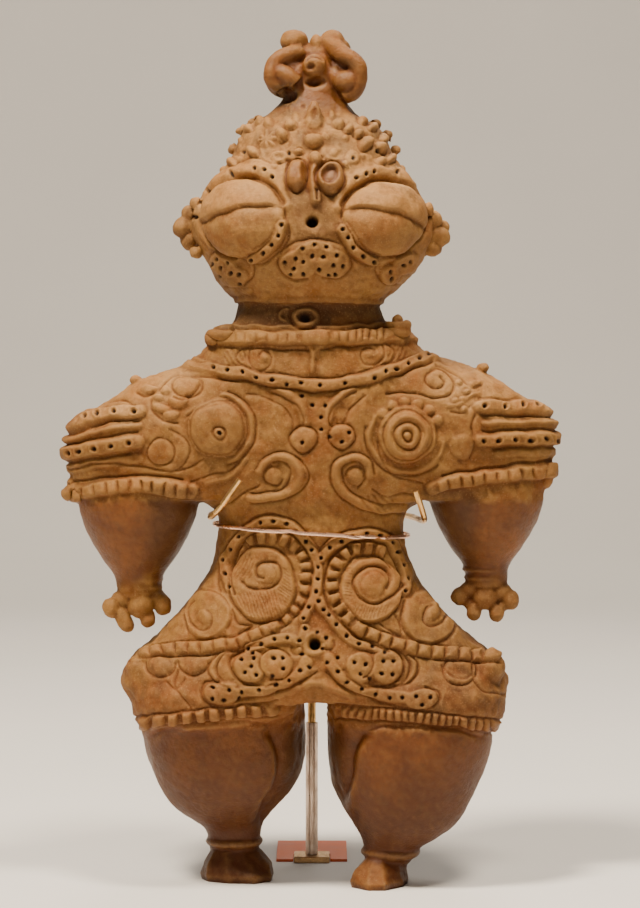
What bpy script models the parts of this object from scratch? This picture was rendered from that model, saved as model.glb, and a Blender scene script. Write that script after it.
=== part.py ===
"""Dogu figurine: a standing fired-clay figure with goggle eyes, and the brass stand that steadies it.

The figure is one piece of clay. Its form is written in design millimetres: the figure is 361 tall,
stands at z = 0, faces -Y, and x = 0 runs through its mouth and navel. MM turns them into metres.
Closed forms are lofted, joined by a voxel remesh and smoothed. The broad carving then moves the
surface along its normals, and a Decimate modifier thins the mesh.
The stand is measured in metres of its own, and follows the figure where it touches it.
"""

import bmesh
import bpy
import numpy as np
from mathutils import Vector
from mathutils.bvhtree import BVHTree

# Figure
FIGURE_HEIGHT = 0.361
DESIGN_HEIGHT = 361.0
MM = FIGURE_HEIGHT / DESIGN_HEIGHT
VOXEL = 1.25
BROAD_PASSES = 9
FINE_PASSES = 2
FIGURE_TRIANGLES = 7900
RING_SIDES = 56
SOLE_TOLERANCE = 0.15
TUBE_SIDES = 14

# Stand, in metres
CLEARANCE = 0.0003
WIRE_GAP = 0.0005
TUBE_OUTER_DIAMETER = 0.0054
TUBE_WALL = 0.0006
TUBE_LENGTH = 0.058
TUBE_FLOOR = 0.003
ROD_TOP_ABOVE_CRADLE = 0.004
CRADLE_DIAMETER = 0.0026
WAIST_WIRE_DIAMETER = 0.0017
FOOT_BAR_WIDTH = 0.0156
FOOT_BAR_DEPTH = 0.0145
FOOT_BAR_HEIGHT = 0.0026
BASE_PLATE_WIDTH = 0.031
BASE_PLATE_DEPTH = 0.044
BASE_PLATE_THICKNESS = 0.0012
PLATE_NOTCH_DEPTH = 0.0116
POST_SIDES = 24
WIRE_SIDES = 8

ROD_DIAMETER = TUBE_OUTER_DIAMETER - 2 * TUBE_WALL - 2 * CLEARANCE
POST_X = -0.2 * MM
POST_Y = 44.6 * MM

# Body forms: height, reach to the left, to the right, to the front and to the back
TRUNK = [
    (77, 78, 80, 32, 29),
    (80, 80.5, 83, 34, 31),
    (84, 81.5, 83.5, 35.5, 31.5),
    (92, 78, 79, 35, 30.5),
    (102, 67, 67.5, 32.5, 28.5),
    (112, 57, 57, 30, 26),
    (122, 49, 48, 27, 24),
    (132, 43, 42, 24.5, 22),
    (142, 40, 39.5, 23, 20.5),
    (156, 40, 39.5, 23.5, 20.5),
    (162, 48, 47, 25.5, 22),
    (180, 60, 60, 28, 25),
    (205, 60, 60, 28, 26),
    (222, 47, 48, 26.5, 25),
    (229.5, 42.5, 41, 26, 25),
    (235, 34, 32, 24, 23),
    (248, 34, 32, 24, 23),
]
SHOULDERS = [
    (160.5, 97.5, 95.5, 20, 20),
    (163, 100.5, 98.5, 23, 22.5),
    (172, 104, 101.5, 25, 24),
    (184, 105.5, 103.5, 26.5, 25),
    (191, 103, 104, 26.5, 25),
    (197, 95, 101, 26.5, 25),
    (204, 84, 90, 26, 25),
    (211, 73.5, 80, 25, 24),
    (216, 59, 69, 23.5, 23),
    (221, 49, 54, 22, 22),
    (226, 40, 41, 20, 20),
]
HEAD = [
    (242, 31, 30, 22, 21),
    (246, 36, 35, 26, 24),
    (251, 39.5, 39, 30, 27),
    (257, 42.4, 44, 33, 29),
    (264, 46, 48.4, 35, 31),
    (272, 50.4, 51, 35.5, 32),
    (281, 50.4, 50.4, 35, 32),
    (288, 47.8, 47.2, 33.5, 31),
    (295, 43.6, 43.4, 31.5, 30),
    (302, 36.4, 37.4, 29, 28),
    (309, 32, 33, 26, 25.5),
    (317, 29.6, 31, 23, 23),
    (321, 27, 27, 20, 20),
    (326, 13, 15, 13, 13),
    (332, 12, 13.5, 11, 11),
    (338, 11, 12, 10, 10),
    (344, 9, 10, 8, 8),
]
BODY_POWER = 2.45
SHOULDER_POWER = 2.7
HEAD_POWER = 2.2

# Limbs: height and half-width at each station; the right limb differs a little from the left
FOREARM = [(174, 21), (166, 25), (158, 25.4), (152, 24.2), (146, 22), (140, 18.8), (134, 15), (129, 11.2),
           (125, 9.6), (119, 9.2)]
LEG = [(82, 34), (66, 36.2), (56, 35), (46, 32.6), (39, 29.2), (32, 24.6), (25, 18.8), (20.5, 14),
       (17.5, 12), (10, 11)]
LEFT_ARM = {"x": -74, "rise": 0.0, "scale": 1.0}
RIGHT_ARM = {"x": 74.4, "rise": 4.5, "scale": 0.97}
LEFT_LEG = {"x_top": -38.6, "x_foot": -33.4, "y": 7.0, "drop": 0.0, "turn": 34}
RIGHT_LEG = {"x_top": 41.8, "x_foot": 33.4, "y": -6.0, "drop": 1.8, "turn": -30}

# Hem of the hips round each thigh: height at the middle, half-width and depth
HEM = [(66.6, 34.6, 31), (69, 36.2, 33), (74, 37.4, 34), (82, 38, 34), (90, 33, 30)]
LEFT_HEM = {"x": -39.4, "y": 0.0, "slope": 0.07}
RIGHT_HEM = {"x": 43.2, "y": -1.5, "slope": -0.08}
ARM_DEPTH_SHARE = 0.86
LEG_DEPTH_SHARE = 0.9

WAIST_HEIGHT = 149.2
WAIST_TILT = -0.06
CRADLE_HEIGHT = 154.2
CRADLE_TILT = -0.012
WAIST_SEARCH_RADIUS = 45.5 * MM
EYES = [
    {"x": -29.1, "z": 278.7, "wide": 17.6, "tall": 16.4, "slit": [(-46, 275.4), (-30, 281.2), (-12, 282.8)]},
    {"x": 30.8, "z": 277.6, "wide": 18.2, "tall": 16.6, "slit": [(13.6, 283.6), (31, 281.4), (48, 274.2)]},
]


def clear_scene():
    for obj in list(bpy.data.objects):
        bpy.data.objects.remove(obj)


def material(name, colour, roughness, metallic=0.0):
    made = bpy.data.materials.new(name)
    made.use_nodes = True
    shader = made.node_tree.nodes["Principled BSDF"]
    shader.inputs["Base Color"].default_value = (*colour, 1.0)
    shader.inputs["Roughness"].default_value = roughness
    shader.inputs["Metallic"].default_value = metallic
    made.diffuse_color = (*colour, 1.0)
    return made


def add_object(name, mesh, surface, smooth_angle=None):
    obj = bpy.data.objects.new(name, mesh)
    bpy.context.scene.collection.objects.link(obj)
    mesh.materials.append(surface)
    if smooth_angle is not None:
        mesh.shade_smooth()
        mesh.set_sharp_from_angle(angle=smooth_angle)
    return obj


def mesh_from(form, name):
    mesh = bpy.data.meshes.new(name)
    bmesh.ops.recalc_face_normals(form, faces=form.faces)
    form.to_mesh(mesh)
    form.free()
    return mesh


def evaluated_mesh(obj):
    """The object's mesh with its modifiers applied, as a new mesh."""
    depsgraph = bpy.context.evaluated_depsgraph_get()
    depsgraph.update()
    return bpy.data.meshes.new_from_object(obj.evaluated_get(depsgraph))


# Forms

def section(height, left, right, front, back, power, centre=(0.0, 0.0)):
    """One ring of a lofted form: a superellipse with its own reach to each of the four sides."""
    angle = np.linspace(0, 2 * np.pi, RING_SIDES, endpoint=False)
    across = np.sign(np.cos(angle)) * np.abs(np.cos(angle)) ** (2 / power)
    along = np.sign(np.sin(angle)) * np.abs(np.sin(angle)) ** (2 / power)
    x = centre[0] + across * np.where(across > 0, right, left)
    y = centre[1] + along * np.where(along > 0, back, front)
    return np.column_stack([x, y, np.full(RING_SIDES, float(height))])


def loft(form, rings):
    """Joins rings of equal length into one closed shell."""
    loops = [[form.verts.new(point) for point in ring] for ring in rings]
    for lower, upper in zip(loops[:-1], loops[1:]):
        for i, vertex in enumerate(lower):
            j = (i + 1) % len(lower)
            form.faces.new((vertex, lower[j], upper[j], upper[i]))
    form.faces.new(list(reversed(loops[0])))
    form.faces.new(loops[-1])


def tube_rings(path, radii, sides):
    """Rings square to a path, turned as little as possible from one to the next."""
    path = np.asarray(path, float)
    radii = np.broadcast_to(np.asarray(radii, float), len(path))
    tangents = np.gradient(path, axis=0)
    tangents /= np.linalg.norm(tangents, axis=1)[:, None]
    helper = np.array([0.0, 0.0, 1.0]) if abs(tangents[0][2]) < 0.9 else np.array([1.0, 0.0, 0.0])
    side = np.cross(tangents[0], helper)
    angle = np.linspace(0, 2 * np.pi, sides, endpoint=False)
    rings = []
    for point, tangent, radius in zip(path, tangents, radii):
        side = side - tangent * (side @ tangent)
        side /= np.linalg.norm(side)
        up = np.cross(tangent, side)
        rings.append(point + radius * (np.outer(np.cos(angle), side) + np.outer(np.sin(angle), up)))
    return rings


def ball(form, centre, radii):
    """An ellipsoid, as a stack of rings."""
    steps = np.linspace(-0.97, 0.97, 9)
    rings = []
    for step in steps:
        size = np.sqrt(1 - step * step)
        rings.append(section(centre[2] + radii[2] * step, radii[0] * size, radii[0] * size,
                             radii[1] * size, radii[1] * size, 2.0, centre[:2]))
    loft(form, rings)


def curl(form, centre, radius, thickness, start, sweep, lean):
    """A curved roll of clay in the upright plane, turned by lean about the vertical."""
    angle = np.radians(np.linspace(start, start + sweep, 20))
    path = np.column_stack([
        centre[0] + radius * np.cos(angle) * np.cos(np.radians(lean)),
        centre[1] + radius * np.cos(angle) * np.sin(np.radians(lean)),
        centre[2] + radius * np.sin(angle),
    ])
    loft(form, tube_rings(path, thickness, TUBE_SIDES))


def smooth_path(points, count=24):
    """A Catmull-Rom curve through a few points."""
    points = np.asarray(points, float)
    padded = np.vstack([2 * points[0] - points[1], points, 2 * points[-1] - points[-2]])
    path = []
    for t in np.linspace(0, len(points) - 1, count):
        i = min(int(t), len(points) - 2)
        u = t - i
        p0, p1, p2, p3 = padded[i:i + 4]
        path.append(0.5 * (2 * p1 + (p2 - p0) * u + (2 * p0 - 5 * p1 + 4 * p2 - p3) * u * u
                           + (3 * p1 - p0 - 3 * p2 + p3) * u ** 3))
    return np.array(path)


def body_forms():
    """Trunk, shoulders and head, with the forearms and legs that hang and stand from them."""
    form = bmesh.new()
    for stations, power in ((TRUNK, BODY_POWER), (SHOULDERS, SHOULDER_POWER), (HEAD, HEAD_POWER)):
        loft(form, [section(*station, power) for station in stations])
    for arm in (LEFT_ARM, RIGHT_ARM):
        rings = []
        for height, half in reversed(FOREARM):
            half *= arm["scale"]
            deep = half * ARM_DEPTH_SHARE
            rings.append(section(height + arm["rise"], half, half, deep, deep, 2.0, (arm["x"], 0)))
        loft(form, rings)
    top, ankle = LEG[0][0], LEG[-1][0]
    for leg in (LEFT_LEG, RIGHT_LEG):
        rings = []
        for height, half in reversed(LEG):
            share = min(1.0, (height - ankle) / (top - ankle) * 2.2)
            centre = (leg["x_foot"] + (leg["x_top"] - leg["x_foot"]) * share, leg["y"] * (1 - share / 2))
            deep = half * LEG_DEPTH_SHARE
            rings.append(section(height - leg["drop"], half, half, deep, deep, 2.15, centre))
        loft(form, rings)
    for hem in (LEFT_HEM, RIGHT_HEM):
        rings = []
        for height, half, deep in HEM:
            ring = section(height, half, half, deep, deep, 2.5, (hem["x"], hem["y"]))
            ring[:, 2] += (ring[:, 0] - hem["x"]) * hem["slope"]
            rings.append(ring)
        loft(form, rings)
    return form


def hand(form, arm):
    """A stub of a hand: a palm, a knob at each side and two short fingers."""
    x, z = arm["x"], arm["rise"]
    out = np.sign(x)
    for height in (126.4, 122.4):
        ball(form, (x, 0, height + z), (10.4, 9.2, 1.9))
    ball(form, (x, -1.5, 116 + z), (11.5, 7, 6.2))
    ball(form, (x + 11 * out, -2.5, 114 + z), (4, 4.6, 4.4))
    ball(form, (x - 10 * out, -2.5, 114.4 + z), (4.2, 4.6, 4.4))
    ball(form, (x + 1.5, -5.2, 116.2 + z), (5, 4, 4.6))
    for shift, tip in ((-4.8, 107.6), (4.8, 108.6)):
        finger = [(x + shift, -2.5, 114 + z), (x + shift * 1.05, -3.6, tip + z)]
        loft(form, tube_rings(finger, 3.5, TUBE_SIDES))
        ball(form, (x + shift * 1.05, -3.6, tip + z), (3.5, 3.5, 3.2))


def foot(form, leg):
    """Ankle rings and a blunt wedge of a foot, flat underneath and turned inwards."""
    x, y, drop, turn = leg["x_foot"], leg["y"], leg["drop"], np.radians(leg["turn"])
    ball(form, (x, y, 16 - drop), (13, 12.4, 3))
    ball(form, (x, y, 12.2 - drop), (12, 11.6, 2.4))
    rings = []
    for height, wide, toe, heel in ((-4, 12.4, 17, 12.2), (2.4, 13, 17.8, 12.6), (5.4, 12.6, 16.6, 12.2),
                                    (9, 11.4, 13.4, 11.2), (13 - drop, 10.6, 11, 10.4)):
        ring = section(height, wide, wide, toe, heel, 2.6)
        across = ring[:, 0] * np.cos(turn) - ring[:, 1] * np.sin(turn)
        along = ring[:, 0] * np.sin(turn) + ring[:, 1] * np.cos(turn)
        ring[:, 0], ring[:, 1] = across + x, along + y
        rings.append(ring)
    loft(form, rings)


def top_knot(form):
    """The crown on the head: a stem with four curled lobes and two knobs that open upwards."""
    for centre, radius, start, lean in (((-12, -6, 342.4), 6.3, 60, -18), ((14.4, -6, 339), 6.7, 100, 18),
                                        ((-10.5, 8, 341), 6, 60, 18), ((13, 8, 341), 6, 100, -18)):
        curl(form, centre, radius, 3.4, start, 330, lean)
        ball(form, centre, (radius, 2.2, radius))
    ball(form, (-8.2, -1, 354.2), (6.4, 6, 5.8))
    ball(form, (5.6, 0, 355), (4.8, 5.4, 5.6))
    ball(form, (0.5, 5, 349), (8, 5, 5))
    ridge = smooth_path([(3.6, -4.5, 356), (7, -7, 350.5), (15, -8, 346), (21.4, -6, 343)], 12)
    loft(form, tube_rings(ridge, np.linspace(3.0, 2.5, 12), TUBE_SIDES))
    ball(form, (-0.5, -8.8, 343.6), (5.2, 3.4, 4.6))


def ears(form):
    """Knobs at the sides of the head; the right ear is a broken stump."""
    for x, z, size in ((-55, 275.4, 4.6), (-52, 281.6, 3.8), (-52, 269.6, 3.6)):
        ball(form, (x, 0, z), (size, size + 0.8, size))
    for x, z, size in ((52.8, 279, 3.8), (53.6, 271.6, 4.8), (51.6, 266.6, 3.8)):
        ball(form, (x, -1, z), (size, size + 1.2, size))


def sleeve_knobs(form):
    """Lumps of clay at the outer edge of each sleeve, and at the right hip."""
    for centre, radii in (((-101.6, 0, 166), (3.8, 7, 4)), ((-98.6, -1, 161.4), (4, 7, 3.4)),
                          ((100, -3, 170.4), (3.8, 6, 6.4)), ((75, -13, 88), (9, 14, 8)),
                          ((-73, -13, 86), (8, 13, 6))):
        ball(form, centre, radii)


def bend_to_surface(solid, points, distance):
    """Moves each point that is nearer than distance to the figure, or inside it, out to distance."""
    placed = []
    for point in points:
        near, normal, _, _ = solid.find_nearest(Vector(point))
        away = Vector(point) - near
        if away.dot(normal) < distance:
            point = near + normal * distance
        placed.append(tuple(point))
    return placed


# Carving

class Carving:
    """Raised and sunk work on one mesh, drawn in the upright X-Z plane and seen from the front or back."""

    def __init__(self, points, normals):
        self.points, self.normals = points, normals
        self.x, self.y, self.z = points.T
        self.raised = np.zeros(len(points))
        self.sunk = np.zeros(len(points))
        facing = normals[:, 1]
        self.share = {
            "front": np.clip((-facing - 0.08) / 0.25, 0, 1),
            "back": np.clip((facing - 0.08) / 0.25, 0, 1),
            "both": np.ones(len(points)),
        }

    def window(self, low, high, side):
        inside = (self.x > low[0]) & (self.x < high[0]) & (self.z > low[1]) & (self.z < high[1])
        return np.nonzero(inside & (self.share[side] > 0))[0]

    def add(self, chosen, height, side):
        """Raises the chosen points by height, or sinks them where height is negative."""
        height = height * self.share[side][chosen]
        self.raised[chosen] = np.maximum(self.raised[chosen], height)
        self.sunk[chosen] = np.maximum(self.sunk[chosen], -height)

    def near(self, path, reach, side):
        """Points within reach of a path, with their distance from it and the length run along it."""
        path = np.asarray(path, float)
        chosen = self.window(path.min(0) - reach, path.max(0) + reach, side)
        x, z = self.x[chosen], self.z[chosen]
        best, run = np.full(len(chosen), np.inf), np.zeros(len(chosen))
        length = 0.0
        for start, end in zip(path[:-1], path[1:]):
            step = end - start
            span = max(float(np.hypot(*step)), 1e-9)
            share = np.clip(((x - start[0]) * step[0] + (z - start[1]) * step[1]) / span ** 2, 0, 1)
            away = np.hypot(x - start[0] - share * step[0], z - start[1] - share * step[1])
            closer = away < best
            best[closer] = away[closer]
            run[closer] = length + share[closer] * span
            length += span
        return chosen, best, run

    def ridge(self, path, half, height, side="front"):
        """A rounded roll along a path; a groove where height is negative."""
        chosen, away, _ = self.near(path, half, side)
        share = np.clip(away / half, 0, 1)
        self.add(chosen, height * (1 - share ** 2) ** 2, side)

    def band(self, path, half, height, side="front", edge=0.9):
        """A flat strip with rounded edges along a path."""
        chosen, away, _ = self.near(path, half + edge, side)
        share = np.clip((half + edge - away) / (2 * edge), 0, 1)
        self.add(chosen, height * share * share * (3 - 2 * share), side)

    def beads(self, path, half, pitch, height, side="front"):
        """A row of lumps along a path."""
        chosen, away, run = self.near(path, half, side)
        beat = 0.5 + 0.5 * np.cos(2 * np.pi * run / pitch)
        share = np.clip(away / half, 0, 1)
        self.add(chosen, height * beat * (1 - share ** 2), side)

    def dome(self, x, z, wide, tall, height, side="front", power=2.0, turn=0.0):
        """A lens raised on an ellipse, turned by turn degrees."""
        reach = max(wide, tall)
        chosen = self.window((x - reach, z - reach), (x + reach, z + reach), side)
        across, up = self.x[chosen] - x, self.z[chosen] - z
        cos, sin = np.cos(np.radians(turn)), np.sin(np.radians(turn))
        radius = np.hypot((across * cos + up * sin) / wide, (up * cos - across * sin) / tall)
        self.add(chosen, height * np.clip(1 - radius ** power, 0, 1) ** 0.6, side)

    def plateau(self, x, z, wide, tall, height, side="front", turn=0.0, edge=0.16):
        """A flat-topped patch on an ellipse."""
        reach = max(wide, tall) * (1 + edge)
        chosen = self.window((x - reach, z - reach), (x + reach, z + reach), side)
        across, up = self.x[chosen] - x, self.z[chosen] - z
        cos, sin = np.cos(np.radians(turn)), np.sin(np.radians(turn))
        radius = np.hypot((across * cos + up * sin) / wide, (up * cos - across * sin) / tall)
        share = np.clip((1 + edge - radius) / (2 * edge), 0, 1)
        self.add(chosen, height * share * share * (3 - 2 * share), side)

    def moved(self):
        return self.points + self.normals * (self.raised - self.sunk)[:, None]


def arc(x, z, wide, tall, start, sweep, points=28):
    """Part of an ellipse, from start through sweep degrees, anticlockwise from +X as seen from the front."""
    angle = np.radians(np.linspace(start, start + sweep, points))
    return np.column_stack([x + wide * np.cos(angle), z + tall * np.sin(angle)])


def spiral(x, z, inner, outer, start, sweep, points=48):
    """A scroll that opens from inner to outer radius."""
    share = np.linspace(0, 1, points)
    angle = np.radians(start + sweep * share)
    radius = inner + (outer - inner) * share
    return np.column_stack([x + radius * np.cos(angle), z + radius * np.sin(angle)])


def carve_face(carving):
    for eye in EYES:
        x, z, wide, tall = eye["x"], eye["z"], eye["wide"], eye["tall"]
        carving.band(arc(x, z, wide * 1.09, tall * 1.1, 0, 360, 60), 1.5, 2.0)
        carving.dome(x, z, wide, tall, 7.4)
        carving.ridge(smooth_path(eye["slit"]), 1.6, -2.2)
    for x, z in ((-5.8, 296.2), (7.9, 295.6)):
        carving.dome(x, z, 5.2, 5.2, 4.2, power=4)
    carving.ridge([(1.2, 305), (1.4, 296), (1.8, 289)], 2.6, 3.4)
    carving.plateau(1.2, 260.8, 13.6, 8.2, 1.5)
    carving.plateau(-34.6, 256.8, 8.6, 5.6, 1.5, turn=-42)
    carving.plateau(36, 257.6, 8.4, 5, 1.5, turn=36)
    carving.plateau(0, 278.3, 2.0, 2.0, -5.0, edge=0.3)
    for x, z in ((-27, 316), (-31, 307), (-21, 308), (-9, 315), (1.2, 309), (13, 315.5), (26, 316), (23, 306.5),
                 (31, 303), (-17, 301.5), (17, 301)):
        carving.dome(x, z, 4.4, 4.2, 2.8, power=3)


def carve_neck(carving):
    for height, half, rise in ((244.4, 1.6, 1.4), (234.6, 1.8, 1.6), (229.6, 3.2, 3.0)):
        ring = [(-60, height), (60, height)]
        carving.band(ring, half, rise, side="both")
    carving.band(arc(-3.6, 239.4, 5.6, 4, 0, 360), 1.2, 1.8)
    neckline = smooth_path([(-50, 219.2), (-28, 215), (-14, 211), (0, 209.4), (14, 210.6), (34, 215.8), (52, 221)])
    carving.band(neckline, 2.3, 1.9)
    carving.band(neckline * [-1, 1] + [0, 2], 2.3, 1.7, side="back")


def carve_chest(carving):
    for side, top in ((-1, 0.0), (1, 1.5)):
        carving.ridge(smooth_path([(12 * side, 208.6), (5.6 * side, 201), (3.8 * side, 193), (6 * side, 186.6)]),
                      2.0, 1.5)
        carving.band(arc(10.4 * side, 187.6, 3.6, 3.6, 0, 360), 1.5, 1.4)
    for x, z in ((-42, 191.6), (40, 190)):
        carving.dome(x, z, 12.5, 12.5, 4.2, power=1.6)
        carving.ridge(arc(x, z, 12.6, 12.6, 0, 360), 2.2, 2.2)
        carving.dome(x, z, 3.0, 3.0, 5.4)
    for x, z, side in ((-17, 172.6, -1), (17, 171, 1)):
        start = 90 - 90 * side
        scroll = spiral(x, z, 2.4, 10.6, start, -430 * side)
        carving.ridge(scroll, 2.2, 1.8)
    carving.ridge(smooth_path([(-26, 167), (-31, 161), (-40, 158)]), 2.0, 1.4)
    carving.ridge(smooth_path([(25, 165), (31, 158), (38, 154)]), 2.0, 1.4)
    carving.ridge(spiral(-53, 206.4, 1.5, 7, 0, 400), 1.9, 1.6)
    carving.ridge(spiral(54, 209, 1.5, 7.4, 180, -400), 1.9, 1.6)
    carving.ridge(arc(-62.6, 182.6, 6, 6, 0, 360), 1.8, 1.4)
    carving.ridge(arc(63, 184, 6, 6, 0, 360), 1.8, 1.4)


def carve_shoulders(carving):
    """Three ridges round each shoulder's end and a raised band round each sleeve."""
    rows = {
        -1: [((-112, 188.4), (-72, 197.6)), ((-112, 183.4), (-72, 190)), ((-112, 175.8), (-71, 182))],
        1: [((112, 196), (71, 200)), ((112, 190.4), (71, 193.4)), ((112, 185), (72, 186))],
    }
    for ridges in rows.values():
        for (ends, half, rise) in zip(ridges, (2.3, 1.1, 2.5), (2.4, 1.3, 2.6)):
            carving.band(ends, half, rise, side="both")
    sleeves = (((-112, 166.4), (-50, 169.6)), ((112, 176.4), (52, 167.6)))
    for ends in sleeves:
        carving.band(ends, 3.2, 2.2, side="both")


def carve_belly(carving):
    """Two great scrolls in dotted arches, with belts that run down to the hips."""
    for x, z, arch, side in ((-18.6, 130.4, 20.6, -1), (21.4, 127.2, 19.8, 1)):
        start = 90 - 110 * side
        carving.band(arc(x, z, arch, arch, start, 220 * side), 1.9, 1.6)
        carving.band(spiral(x, z - 1, 2.4, 15.2, start, 500 * side), 2.3, 2.0)
    for belt in ([(-11, 111), (-21, 105.4), (-34, 101.2), (-52, 99.2), (-72, 96.4)],
                 [(18, 111.4), (28, 105), (41, 99.6), (56, 96.4), (76, 97)]):
        carving.band(smooth_path(belt), 2.6, 1.8)
    for x, z, side in ((-43.4, 114.4, -1), (48.6, 114.6, 1)):
        carving.dome(x, z, 4, 4, 2.2)
        carving.ridge(arc(x, z, 9, 9, 90, 250 * side), 2.0, 1.8)
    carving.plateau(1, 102, 2.2, 2.6, -7.0, edge=0.3)


def carve_hips(carving):
    """Dotted patches and bands below the navel, and a row of teeth round the top of each leg."""
    carving.plateau(-21.4, 93.6, 12, 7.2, 1.5)
    carving.plateau(25, 92.4, 12.4, 6.6, 1.5)
    carving.band(smooth_path([(-4, 96), (-11, 87.6), (-24, 84), (-44, 82.6)]), 2.7, 1.5)
    carving.band(smooth_path([(6.6, 95), (14, 87.6), (26, 83.4), (40, 81), (54, 80.8)]), 2.7, 1.5)
    for x, z, size in ((-65, 93, 5.8), (-50, 94, 7), (62, 92.6, 6.4)):
        carving.ridge(arc(x, z, size, size, 180, 180), 1.6, 1.4)
    for ends in (((-90, 66.6), (-6, 74)), ((92, 65.6), (8, 74))):
        carving.band(ends, 2.6, 1.4, side="both")


def carve_back(carving):
    """The back, which is plainer: ridged scrolls, a spine groove and the belts carried round."""
    carving.ridge([(0, 205), (0, 150), (0, 80)], 4.5, -1.6, side="back")
    for side in (-1, 1):
        carving.ridge(spiral(24 * side, 186, 2.2, 13, 90 - 90 * side, -440 * side), 2.3, 1.8, side="back")
        carving.ridge(arc(52 * side, 195, 8, 8, 0, 360), 2.0, 1.6, side="back")
        carving.ridge(spiral(20 * side, 126, 2.2, 14, 90 + 90 * side, 440 * side), 2.3, 1.8, side="back")
        belt = smooth_path([(6 * side, 106), (22 * side, 102), (48 * side, 99), (74 * side, 97)])
        carving.band(belt, 2.4, 1.6, side="back")
        carving.ridge(spiral(22 * side, 274, 2.2, 13, 90 - 90 * side, 400 * side), 2.2, 1.8, side="back")
    carving.band([(-30, 292), (30, 292)], 2.0, 1.6, side="back")


# Figure

def remeshed(form, name, voxel, passes):
    """Joins the shells of a form into one skin, and evens it out."""
    obj = bpy.data.objects.new(name, mesh_from(form, name))
    bpy.context.scene.collection.objects.link(obj)
    remesh = obj.modifiers.new("Skin", "REMESH")
    remesh.mode = "VOXEL"
    remesh.voxel_size = voxel
    smooth = obj.modifiers.new("Even", "SMOOTH")
    smooth.factor = 0.5
    smooth.iterations = round(passes)
    mesh = evaluated_mesh(obj)
    bpy.data.objects.remove(obj)
    return mesh


def cut_soles(mesh):
    """Cuts the feet off flat at the standing plane, and closes each cut with a flat sole."""
    form = bmesh.new()
    form.from_mesh(mesh)
    everything = list(form.verts) + list(form.edges) + list(form.faces)
    cut = bmesh.ops.bisect_plane(form, geom=everything, dist=0.01, plane_co=(0, 0, 0), plane_no=(0, 0, 1),
                                 clear_inner=True)
    rim = [item for item in cut["geom_cut"] if isinstance(item, bmesh.types.BMEdge)]
    soles = bmesh.ops.edgeloop_fill(form, edges=rim)["faces"]
    bmesh.ops.triangulate(form, faces=soles)
    bmesh.ops.recalc_face_normals(form, faces=form.faces)
    form.to_mesh(mesh)
    form.free()


def carved_figure():
    """The figure's skin in design millimetres: broad forms first, then small ones, then carving."""
    broad = remeshed(body_forms(), "broad_forms", VOXEL, BROAD_PASSES)
    form = bmesh.new()
    form.from_mesh(broad)
    for arm in (LEFT_ARM, RIGHT_ARM):
        hand(form, arm)
    for leg in (LEFT_LEG, RIGHT_LEG):
        foot(form, leg)
    top_knot(form)
    ears(form)
    sleeve_knobs(form)
    skin = remeshed(form, "small_forms", VOXEL, FINE_PASSES)
    count = len(skin.vertices)
    points = np.zeros(count * 3)
    normals = np.zeros(count * 3)
    skin.vertices.foreach_get("co", points)
    skin.vertices.foreach_get("normal", normals)
    carving = Carving(points.reshape(-1, 3), normals.reshape(-1, 3))
    for carve in (carve_face, carve_neck, carve_chest, carve_shoulders, carve_belly, carve_hips, carve_back):
        carve(carving)
    skin.vertices.foreach_set("co", carving.moved().ravel())
    skin.update()
    cut_soles(skin)
    return skin


def make_figure(clay):
    skin = carved_figure()
    skin.calc_loop_triangles()
    full = bpy.data.objects.new("full_skin", skin)
    bpy.context.scene.collection.objects.link(full)
    thin = full.modifiers.new("Thin", "DECIMATE")
    thin.ratio = FIGURE_TRIANGLES / len(skin.loop_triangles)
    thin.use_collapse_triangulate = True
    mesh = evaluated_mesh(full)
    bpy.data.objects.remove(full)
    points = np.zeros(len(mesh.vertices) * 3)
    mesh.vertices.foreach_get("co", points)
    points = points.reshape(-1, 3)
    points[points[:, 2] < SOLE_TOLERANCE, 2] = 0.0
    points[:, 2] *= DESIGN_HEIGHT / points[:, 2].max()
    mesh.vertices.foreach_set("co", (points * MM).ravel())
    mesh.update()
    return add_object("figurine", mesh, clay, smooth_angle=1.2)


# Stand

def closed_tube(name, path, diameter, surface):
    """A wire whose two ends meet, with no caps."""
    path = np.asarray(path, float)
    padded = np.vstack([path[-1], path, path[0]])
    rings = tube_rings(padded, diameter / 2, WIRE_SIDES)[1:-1]
    form = bmesh.new()
    loops = [[form.verts.new(point) for point in ring] for ring in rings]
    for lower, upper in zip(loops, loops[1:] + loops[:1]):
        shift = min(range(WIRE_SIDES), key=lambda k: (upper[k].co - lower[0].co).length)
        for i in range(WIRE_SIDES):
            j = (i + 1) % WIRE_SIDES
            form.faces.new((lower[i], lower[j], upper[(j + shift) % WIRE_SIDES], upper[(i + shift) % WIRE_SIDES]))
    return add_object(name, mesh_from(form, name), surface, smooth_angle=0.9)


def outline_hull(points):
    """The convex outline round a set of 2D points, anticlockwise."""
    points = sorted(map(tuple, points))

    def half(ordered):
        chain = []
        for p in ordered:
            while len(chain) > 1 and ((chain[-1][0] - chain[-2][0]) * (p[1] - chain[-2][1])
                                      - (chain[-1][1] - chain[-2][1]) * (p[0] - chain[-2][0])) <= 0:
                chain.pop()
            chain.append(p)
        return chain[:-1]

    return np.array(half(points) + half(points[::-1]))


def evenly_spaced(loop, spacing):
    """Points at equal steps along a closed 2D loop."""
    closed = np.vstack([loop, loop[:1]])
    run = np.concatenate([[0], np.cumsum(np.hypot(*np.diff(closed, axis=0).T))])
    steps = np.linspace(0, run[-1], max(12, int(run[-1] / spacing)), endpoint=False)
    return np.column_stack([np.interp(steps, run, closed[:, 0]), np.interp(steps, run, closed[:, 1])])


def waist_height(x):
    return (WAIST_HEIGHT + WAIST_TILT * x / MM) * MM


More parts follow.
